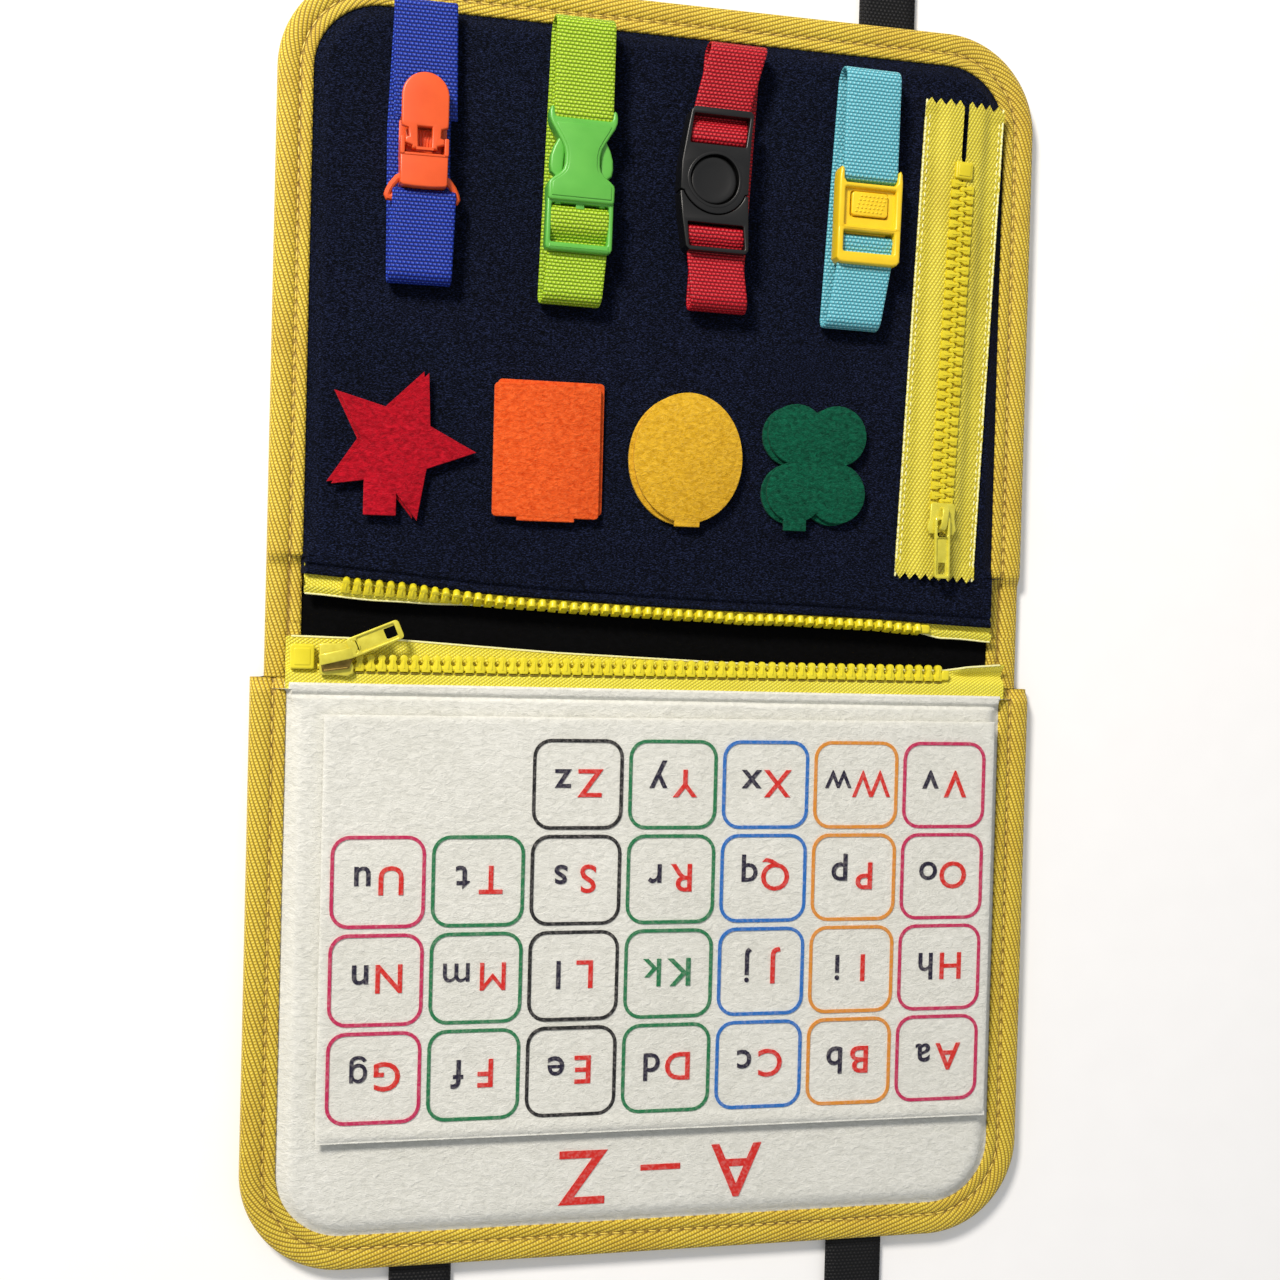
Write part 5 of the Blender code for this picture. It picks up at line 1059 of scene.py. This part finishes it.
base = [plate([block], 0.0030, 0.0120, 0.0006, 3),
        tile((0.0, 0.0190, 0.0084, 0.0075, 0.0030, 4), 0.0030, 0.0048, 0.0004),
        tile((0.0, 0.0004, 0.0086, 0.0005, 0.0003, 2), 0.0112, 0.0123, 0.0003)]
for side in (-1, 1):
    wall = [(side * x, y) for x, y in ((0.0026, 0.0024), (0.0044, 0.0024), (0.0036, 0.0108),
                                       (0.0026, 0.0108))]
    lever.append(plate([wall], 0.0084, 0.0124, 0.0003))
    base.append(tile((side * 0.0080, 0.0034, 0.0008, 0.0032, 0.0005, 3), 0.0040, 0.0126, 0.0003))
    base.append(tile((side * 0.0070, 0.0070, 0.0018, 0.0075, 0.0005, 2), 0.0030, 0.0048, 0.0003))
wire = [(0.0074, -0.0070, 0.0085), (0.0092, -0.0078, 0.0080), (0.0112, -0.0102, 0.0072),
        (0.0124, -0.0126, 0.0067), (0.0128, -0.0138, 0.0065), (0.0124, -0.0147, 0.0065),
        (0.0113, -0.0148, 0.0065), (0.0102, -0.0138, 0.0065), (0.0090, -0.0128, 0.0065)]
base.append(wire_mesh(wire + [(-x, y, z) for x, y, z in reversed(wire)], 0.00135, 3))
for word, meshes, body in (("lever", lever, "clip_lever"), ("jaw", jaw, "clip_jaw"),
                           ("base", base, "upper_cover")):
    build("clip_" + word + "_moulding", meshes, orange_plastic, body, "orange_plastic",
          "clip_" + word, home=clip_place)

# Zippers: yellow woven tape, moulded acetal teeth, painted metal sliders and pulls.
# Zip tape tones: painted shade in the rib valleys, the tape's own yellow, painted highlight on the
# floats.
play_tape_finish = twill("golden_zip_tape", "A08E16", "D6C82C", "F4EA60", slant=28.0, rib=0.00125,
                         float_length=0.0013)
tape_finish = twill("yellow_zip_tape", "C4B21C", "EADF34", "FCF674", slant=35.0, rib=0.0011,
                    float_length=0.0011)
tooth_finish = moulded("yellow_zip_teeth", "DDCB16", "F2E432", 0.32)
play_tooth_finish = moulded("golden_zip_teeth", "D2BE14", "EADA2E", 0.36)
pale_thread = thread("pale_yellow_selvedge", "E8E07A", "FFFFD2")
# Dark olive thread that paints the shadow between the lower chain's tooth roots.
root_shade = thread("olive_tape_fold", "5E520A", "968212")
paint = clouded("painted_zip_metal", "CFC02C", "F2E958", 420.0, Metallic=0.25, Roughness=0.35,
                Coat_Weight=0.4)
# A darker, more metallic brass for the piece over the pocket slider's mouth.
mouth_brass = clouded("worn_brass_zip_metal", "5E4A20", "B49A4E", 700.0, Metallic=0.9,
                     Roughness=0.38)
TAPE_WALL = 0.0006


def tooth_mesh(length, head_at, height, block, neck):
    """One tooth along Y: a block that grips the tape, a neck and a round head, with a ridge."""
    half = [(block - 0.0001, -0.0009), (block, 0.0014), (neck, 0.0024), (neck, head_at - 0.0009)]
    head = arc(0.0, head_at, length - head_at, -38, 218, 8)
    outline = half + head + [(-x, y) for x, y in reversed(half)]
    return merged("tooth", [
        plate([outline], -height / 2, height / 2, 0.0004, 1),
        tile((0.0, head_at / 2, 0.00035, head_at / 2 - 0.0003, 0.0003, 1), height / 2 - 0.0002,
             height / 2 + 0.00025, 0.0002, 1)])


def tape_body(name, xs, section_at):
    """Tape swept along X: section_at(x) is its middle line as (y, z) points. u runs along it."""
    points, uvs = [], []
    for x in xs:
        line = [Vector(spot) for spot in section_at(x)]
        upper, lower, across, run = [], [], [], 0.0
        for index, here in enumerate(line):
            before = line[max(index - 1, 0)]
            way = line[min(index + 1, len(line) - 1)] - before
            normal = Vector((-way.y, way.x)).normalized() * TAPE_WALL / 2
            run += (here - before).length
            upper.append(here + normal)
            lower.append(here - normal)
            across.append(run)
        points += [(x, spot.x, spot.y) for spot in upper + lower[::-1]]
        uvs += [(x, v) for v in across + across[::-1]]
    return tube(name, points, 2 * len(line), tape_finish, uvs, 50)


# Pocket zipper, lower side. The chain lies flat on its tape, which is turned back under the teeth
# and ends in a pale woven edge. Past the end stop the free tape curls up to the binding.
LOWER_EDGE = ((-0.1425, -0.0050), (-0.101, -0.0058), (-0.071, -0.0076), (-0.041, -0.0094),
              (-0.010, -0.0106), (0.022, -0.0118), (0.055, -0.0128), (0.100, -0.0134),
              (0.118, -0.0134), (0.126, -0.0118), (0.1425, -0.0105))
CHAIN_Y, CHAIN_Z, ROOT_Y = -0.0166, 0.0087, -0.0181


def lower_section(x):
    edge, curl = along_line(LOWER_EDGE, x), smooth((x - 0.1175) / 0.008)
    low = 0.00490 + 0.0040 * curl + noise.noise(Vector((x * 60, 1.0, 0.0))) * 0.0003 * curl
    return [(-0.0243, CHAIN_Z), (-0.0215, CHAIN_Z), (-0.0188, CHAIN_Z), (-0.0176, 0.0082),
            (-0.0169, 0.0070), (-0.0162, 0.0060), (-0.0154, 0.0056),
            (-0.0154 + (edge + 0.0154) * 0.5, 0.0056 + (low - 0.0056) * 0.35),
            (edge - 0.0006, low), (edge, low + 0.0001)]


def edge_yarn(word, half, section_at, place, shift):
    """The pale woven edge along a tape, at one point of its section."""
    line = []
    for x in spread(-half, half, 0.0009):
        y, z = section_at(x)[place]
        line.append((x, y + shift[0], z + shift[1] + 0.00012 * math.sin(x * 2600)))
    build("pocket_tape_" + word + "_edge", [wire_mesh(line, 0.0004, 1)], pale_thread,
          word + "_lip", "zip_yellow")


lower_tape = mount(tape_body("pocket_tape_lower", spread(-0.1425, 0.1425, 0.0024), lower_section),
                   "lower_lip", "zip_yellow", "pocket_zip_lower")
edge_yarn("lower", 0.1405, lower_section, -1, (0.0, 0.0002))
lower_teeth = row_of(tooth_mesh(0.0055, 0.0040, 0.0026, 0.0017, 0.0011),
                     [(x, CHAIN_Y, CHAIN_Z) for x in (-0.1280, 0.1139)], 60, 0.015, tooth_finish)
lower_core = wire_mesh([(x, CHAIN_Y + 0.0006, CHAIN_Z - 0.0001) for x in (-0.1310, 0.0, 0.1180)],
                       0.0010)
stop_lower = tile((0.1168, CHAIN_Y + 0.0014, 0.0016, 0.0020, 0.0008, 3), CHAIN_Z - 0.0013,
                  CHAIN_Z + 0.0014, 0.0006)
build("pocket_chain_lower", [lower_teeth, lower_core, stop_lower], tooth_finish, "lower_lip",
      "zip_teeth")
# Painted shadow: dark olive dashes along the roots of the teeth, in the gaps between the tooth
# blocks.
root_shadow_dashes = row_of(capsule(0.0034, 0.00042, 0.00022), [(x, ROOT_Y, 0.00912) for x in (-0.1280, 0.1139)],
               60, 0.05, root_shade)
build("pocket_chain_lower_roots", [root_shadow_dashes], root_shade, "lower_lip", "zip_yellow", crease=80)


# Pocket zipper, upper side. The chain hangs loose: at its left end it has turned over, so that the
# teeth stand up against the navy hem, and from there on it lies on edge under the hem.
def turned_over(x):
    return 1 - smooth((x + 0.112) / 0.060)


def upper_section(x):
    edge, turn, ease = along_line(HEM_LINES[1], x), turned_over(x), smooth((x - 0.104) / 0.012)
    sway = noise.noise(Vector((x * 45, 4.0, 0.0))) * 0.0006
    outer = (edge - 0.0034 - 0.0036 * turn - 0.0020 * ease + sway,
             0.0069 + 0.0016 * turn + 0.001 * ease)
    root = (edge - 0.0032 - 0.0010 * turn + 0.0008 * ease + sway,
            0.0075 + 0.0020 * turn + 0.0012 * ease)
    back = (edge - 0.0002, 0.0073)
    return [(edge + 0.0040, 0.0078), back, ((back[0] + outer[0]) / 2, 0.0068 + 0.0008 * turn),
            outer, ((outer[0] + root[0]) / 2, (outer[1] + root[1]) / 2 + 0.0004), root]


upper_tape = mount(tape_body("pocket_tape_upper", spread(-0.1365, 0.1365, 0.0024), upper_section),
                   "upper_lip", "zip_yellow", "pocket_zip_upper")
edge_yarn("upper", 0.1362, upper_section, 3, (-0.0001, 0.0))
upper_line = [(x, *upper_section(x)[-1]) for x in spread(-0.1215, 0.1040, 0.0041)]
upper_twists = [math.radians(70 - 46 * turned_over(x)) for x, _, _ in upper_line]
upper_teeth = row_of(tooth_mesh(0.0047, 0.0033, 0.0030, 0.0016, 0.0010), upper_line, 56, 0.03,
                     tooth_finish, upper_twists)
stop_y, stop_z = upper_section(0.1075)[-1]
stop_upper = tile((0.1075, stop_y + 0.0008, 0.0022, 0.0018, 0.0012, 4), stop_z - 0.0008,
                  stop_z + 0.0024, 0.0008)
build("pocket_chain_upper", [upper_teeth, stop_upper], tooth_finish, "upper_lip", "zip_teeth")

# Play zipper, sewn to the navy page and zipped shut, its ends cut with pinking shears. The tapes
# rise to the teeth in the middle, and the outer edges are sewn flat and a little puckered.
play_home = place_at(0.1140, 0.1180, PAGE_TOP, -2.4)
PLAY_HALF, PLAY_LENGTH, PLAY_MID, TAPE_INNER, TAPE_STEPS = 0.0168, 0.191, 0.0032, 0.0004, 16
PLAY_TEETH, PLAY_PITCH, PLAY_FIRST, CLOSED_HALF = 33, 0.0040, 0.0622, 0.0038


def play_point(side, level, y, step):
    """A point of a play tape at a level, and its place in the weave."""
    share, far = step / TAPE_STEPS, PLAY_LENGTH / 2
    pinked = far - 0.0026 * abs((step + (0 if side < 0 else 1)) % 4 - 2) / 2
    real = max(min(y, pinked), -pinked)
    slit = TAPE_INNER + 0.0007 * smooth((real - 0.0695) / 0.004)
    x = side * (slit + (PLAY_HALF - slit) * share)
    z = 0.0004 + (PLAY_MID - 0.0012) * (1 - smooth((share - 0.34) / 0.36))
    z += 0.00018 * (1 + math.sin(real * 1320 + side)) * smooth((share - 0.55) / 0.3)
    z += 0.0008 * smooth((abs(real) - 0.0870) / 0.006) * smooth((share - 0.3) / 0.5)
    z += noise.noise(Vector((x * 70, real * 70, 9.0))) * 0.00022
    return (play_home @ Vector((x, real, z + level)),
            (real, side * share * (PLAY_HALF - TAPE_INNER)))


play_rows, run = spread(-PLAY_LENGTH / 2, PLAY_LENGTH / 2, 0.0016), PLAY_LENGTH / 2 - 0.0016
chains = []
for side, word in ((-1, "left"), (1, "right")):
    points, uvs = zip(*[play_point(side, level, y, step) for level in (0.0, 0.0007)
                        for y in play_rows for step in range(TAPE_STEPS + 1)])
    tape = mount(make_piece("play_tape_" + word, points, sheet_faces(len(play_rows), TAPE_STEPS),
                            play_tape_finish, uvs, crease=50),
                 "upper_cover", "zip_yellow", "play_zip_" + word)
    whip, inner, loops = [row_of(capsule(*thread_size), [(side * x, -run, z), (side * x, run, z)],
                                 count, chance, finish, twists)
                          for thread_size, x, z, count, chance, finish, twists in (
        ((0.0020, 0.00052, 0.00042), PLAY_HALF - 0.0004, 0.0011, 112, 0.10, pale_thread,
         [math.radians(8)] * 2),
        ((0.0018, 0.00030, 0.00020), PLAY_HALF - 0.0019, 0.0014, 62, 0.08, pale_thread, None),
        ((0.00066, 0.0012, 0.0004), 0.0060, PLAY_MID - 0.0009, 186, 0.03, play_tape_finish,
         None))]
    build("play_tape_stitches_" + word, [whip, inner], pale_thread, "upper_cover", "zip_yellow",
          home=play_home, crease=80)
    build("play_tape_loops_" + word, [loops], play_tape_finish, "upper_cover", "zip_yellow",
          home=play_home, crease=80)
    high = PLAY_FIRST - (0.0 if side < 0 else PLAY_PITCH / 2)
    low = high - PLAY_PITCH * (PLAY_TEETH - 1)
    ends = [(side * CLOSED_HALF, y, PLAY_MID) for y in ((high, low) if side < 0 else (low, high))]
    chains.append(row_of(tooth_mesh(0.0050, 0.0039, 0.0026, 0.0016, 0.0009), ends, PLAY_TEETH,
                         0.015, play_tooth_finish))
    chains[-1].transform(play_home)
build("play_chain", chains, play_tooth_finish, "upper_cover", "zip_teeth")

# Zip boxes: the moulded stops that hold the two chains together at one end.
play_box = [tile((0.0, 0.0676, 0.0036, 0.0034, 0.0007), PLAY_MID - 0.0016, PLAY_MID + 0.0016,
                 0.0006),
            tile((0.0, 0.0676, 0.0026, 0.0024, 0.0005), PLAY_MID + 0.0012, PLAY_MID + 0.0019,
                 0.0003)]
build("play_box_moulding", play_box, play_tooth_finish, "upper_cover", "zip_teeth", "play_box",
      home=play_home)
pocket_box = [tile((-0.1366, -0.0124, 0.0044, 0.0046, 0.0008), 0.0069, 0.0109, 0.0006),
              tile((-0.1366, -0.0124, 0.0030, 0.0032, 0.0006), 0.0105, 0.0111, 0.0003)]
build("pocket_box_moulding", pocket_box, tooth_finish, "lower_lip", "zip_teeth", "pocket_box")


# Sliders and pulls: die-cast zinc, painted yellow. Two plates with a post between them hold the
# tapes together, and the pull hangs on a flat arch with a window and a raised rim at its end.
def slider(name, home, rear_half, front, channel_half, crown, worn=None):
    """crown is (half its length, half its width, its turn in degrees, its place across)."""
    half, top, wall = 0.0062, 0.0027, 0.0011
    right = [(rear_half - 0.0008, -half), (rear_half, -half + 0.0009), (rear_half, 0.0),
             (front, half - 0.0022), (front - 0.0011, half), (0.0022, half), (0.0, half - 0.0013)]
    outline = right + [(-x, y) for x, y in reversed(right[:-1])]
    meshes = [plate([outline], top - wall, top, 0.0004), plate([outline], -top, wall - top, 0.0004)]
    for side in (-1, 1):
        rail = [(side * x, y) for x, y in (
            (rear_half, -half + 0.0008), (rear_half, 0.0), (front, half - 0.0022),
            (front - 0.0009, half - 0.0006), (channel_half, half - 0.0006),
            (channel_half, -half + 0.0008))]
        for low, high in ((0.0015, top - 0.0005), (0.0005 - top, -0.0015)):
            meshes.append(plate([rail], low, high, 0.0001, 1))
    build(name + "_casting", meshes, paint, name, "zip_brass", name, home=home)
    reach, wide, turn, across = crown
    outer = [(-reach, top - 0.0004), (-reach, 0.0044), (-reach * 0.84, 0.0052),
             (-reach * 0.45, 0.0056), (reach * 0.45, 0.0056), (reach * 0.84, 0.0052),
             (reach, 0.0044), (reach, top - 0.0004)]
    loop = outer + [(x * (1 - 0.0011 / reach), max(z - 0.0010, top - 0.0004))
                    for x, z in reversed(outer)]
    arch = plate([loop], -wide, wide, 0.0004)
    arch.transform(Matrix(((0, 0, 1, 0), (1, 0, 0, 0), (0, 1, 0, 0), (0, 0, 0, 1))))
    build(name + "_crown", [arch], paint, name, "zip_brass",
          home=home @ place_at(across, 0.0, 0.0, turn))
    # A darker brass piece lies over the mouth, from the outline worn, with a thin rod along its
    # edge.
    if worn:
        shine = [(worn[place][0] - 0.0004, worn[place][1] + shift, top + 0.0011)
                 for place, shift in ((1, 0.0006), (2, -0.0006))]
        mouth = [plate([worn], top - 0.0003, top + 0.0011, 0.0003), wire_mesh(shine, 0.0004)]
        build(name + "_worn_mouth", mouth, mouth_brass, name, "zip_brass", home=home)


def pull(name, home, half, root=-0.0007, tip=0.0238):
    outer = rounded(0.0, (tip + root) / 2, half, (tip - root) / 2, 0.0014, 4)
    eye = rounded(0.0, 0.0040, half - 0.0010, 0.0033, 0.0010, 4)
    if root > 0:
        eye = arc(0.0, 0.0050, 0.0024, 20, 160, 6) + arc(0.0, 0.0050, 0.0028, 160, 20, 6)
    hole = rounded(0.0, tip - 0.0040, half - 0.0017, 0.0023, 0.0003, 2)
    window = rounded(0.0, 0.0152, half - 0.0009, 0.0074, 0.0006, 3)
    sunken = rounded(0.0, 0.0152, half - 0.0006, 0.0077, 0.0008, 3)
    build(name + "_tab", [plate([outer, eye, window], -0.0007, 0.0009, 0.0003),
                          plate([sunken, hole], -0.0006, 0.0002, 0.0001, 1)],
          paint, name, "zip_brass", name, home=home)


slider("pocket_slider", place_at(-0.1242, -0.0132, CHAIN_Z, -90), 0.0058, 0.0062, 0.0048,
       (0.0064, 0.0020, 14, -0.0012),
       [(0.0010, -0.0058), (0.0046, -0.0052), (0.0034, 0.0046), (-0.0004, 0.0060)])
pull("pocket_pull", place_at(-0.1236, -0.0108, CHAIN_Z + 0.00395, -67), 0.0037, 0.0040, 0.0246)
play_slider_home = play_home @ place_at(0.0, -0.0709, PLAY_MID, 180)
slider("play_slider", play_slider_home, 0.0052, 0.0061, 0.0047, (0.0046, 0.0013, -4, 0.0))
pull("play_pull", play_slider_home @ place_at(0.0006, 0.0, 0.00395, 3), 0.0032)

# Carrying handles: one loop of flat black webbing on each cover's outer edge, folded narrow and
# sewn along the grip.
HANDLE_HALF, HANDLE_REACH, HANDLE_BEND, HANDLE_WIDE, GRIP_WIDE = 0.099, 0.287, 0.026, 0.0118, 0.0065
HANDLE_RING = ((-1.0, 0.35), (-0.94, 0.9), (-0.6, 1.0), (0.0, 1.0), (0.6, 1.0), (0.94, 0.9),
               (1.0, 0.35), (0.94, 0.0), (0.0, 0.0), (-0.94, 0.0))
bend_x, bend_y = HANDLE_HALF - HANDLE_BEND, HANDLE_REACH - HANDLE_BEND
handle_line = [((HANDLE_HALF - HANDLE_WIDE, y), (1.0, 0.0), HANDLE_WIDE)
               for y in spread(0.2427, bend_y, 0.0025)]
for angle in range(6, 91, 6):
    way = (math.cos(math.radians(angle)), math.sin(math.radians(angle)))
    wide = HANDLE_WIDE - (HANDLE_WIDE - GRIP_WIDE) * smooth(angle / 90)
    radius = HANDLE_BEND - wide
    handle_line.append(((bend_x + radius * way[0], bend_y + radius * way[1]), way, wide))
handle_line += [((x, HANDLE_REACH - GRIP_WIDE), (0.0, 1.0), GRIP_WIDE)
                for x in spread(bend_x, 0.0, 0.003)[1:]]
handle_line += [((-x, y), (-a, b), wide) for (x, y), (a, b), wide in reversed(handle_line[:-1])]
for side, word in ((-1, "lower"), (1, "upper")):
    points, uvs, run, before = [], [], 0.0, handle_line[0][0]
    for (x, y), (a, b), wide in handle_line:
        run += math.dist((x, y), before)
        before = (x, y)
        for share, rise in HANDLE_RING:
            points.append((x + a * wide * share, side * (y + b * wide * share),
                           0.0011 + 0.0018 * rise))
            uvs.append((run, share * wide))
    mount(tube(word + "_handle_webbing", points, len(HANDLE_RING), black_webbing, uvs),
          word + "_handle", "black_webbing", word + "_handle")


# Lift-up felt shapes: two layers of 1.7 mm craft felt each. The lower one is sewn to the page and
# the upper one folds open at its tab.
def star(radius, turn):
    points = []
    for corner in range(10):
        reach, angle = radius * (0.47 if corner % 2 else 1.0), math.radians(turn + 36 * corner)
        points.append((reach * math.cos(angle), reach * math.sin(angle)))
    return points


def clover(reach_x, reach_y, radius):
    waist = math.degrees(math.atan2(-reach_y, math.sqrt(radius ** 2 - reach_y ** 2)))
    notch = math.degrees(math.atan2(math.sqrt(radius ** 2 - reach_x ** 2), -reach_x))
    lobe = arc(reach_x, reach_y, radius, waist, notch, 18)
    top = lobe + [(-a, b) for a, b in reversed(lobe[:-1])]
    return top + [(-a, -b) for a, b in lobe[1:]] + [(a, -b) for a, b in reversed(lobe[1:-1])]


ROW, FELT_WALL, BASE_LOW, FLAP_LOW, TAB_END = 0.0666, 0.0017, 0.0103, 0.0123, 0.0402


def felt_shape(word, outline, centre, tab, shift, finish, slot):
    """tab is (left, right, top) of the strip that the flap hangs from, and shift says how far the
    base lies beside the flap."""
    cut = [(x + centre, y + ROW) for x, y in outline]
    base = plate([[(x + shift[0], y + shift[1]) for x, y in cut]], BASE_LOW, BASE_LOW + FELT_WALL,
                 0.0003)
    base_piece = build(word + "_base_felt", [base], finish, "upper_cover", slot, word + "_base")
    left, right, top = tab
    strip = tile(((left + right) / 2, (TAB_END + top) / 2, (right - left) / 2, (top - TAB_END) / 2,
                  0.0004, 2), FLAP_LOW + 0.0001, FLAP_LOW + FELT_WALL - 0.00005, 0.0003)
    flap = build(word + "_flap_felt", [plate([cut], FLAP_LOW, FLAP_LOW + FELT_WALL, 0.0003), strip],
                 finish, word + "_flap", slot, word + "_flap")


felt_shape("star", star(0.0288, -3.6), -0.1035, (-0.1160, -0.1040, 0.0560), (-0.0016, 0.0008),
           red_felt, "red_felt")
felt_shape("square", rounded(0.0, 0.0, 0.0203, 0.0250, 0.0015, 3), -0.0481,
           (-0.0591, -0.0371, 0.0541), (0.0016, 0.0016), orange_felt, "orange_felt")
felt_shape("oval", [(0.0215 * x, 0.0250 * y) for x, y in arc(0, 0, 1, 0, 360, 64)[:-1]], 0.0070,
           (0.0020, 0.0120, 0.0541), (-0.0016, -0.0008), amber_felt, "amber_felt")
felt_shape("clover", clover(0.0084, 0.0112, 0.0118), 0.0588, (0.0458, 0.0550, 0.0554),
           (-0.0016, -0.0008), green_felt, "green_felt")
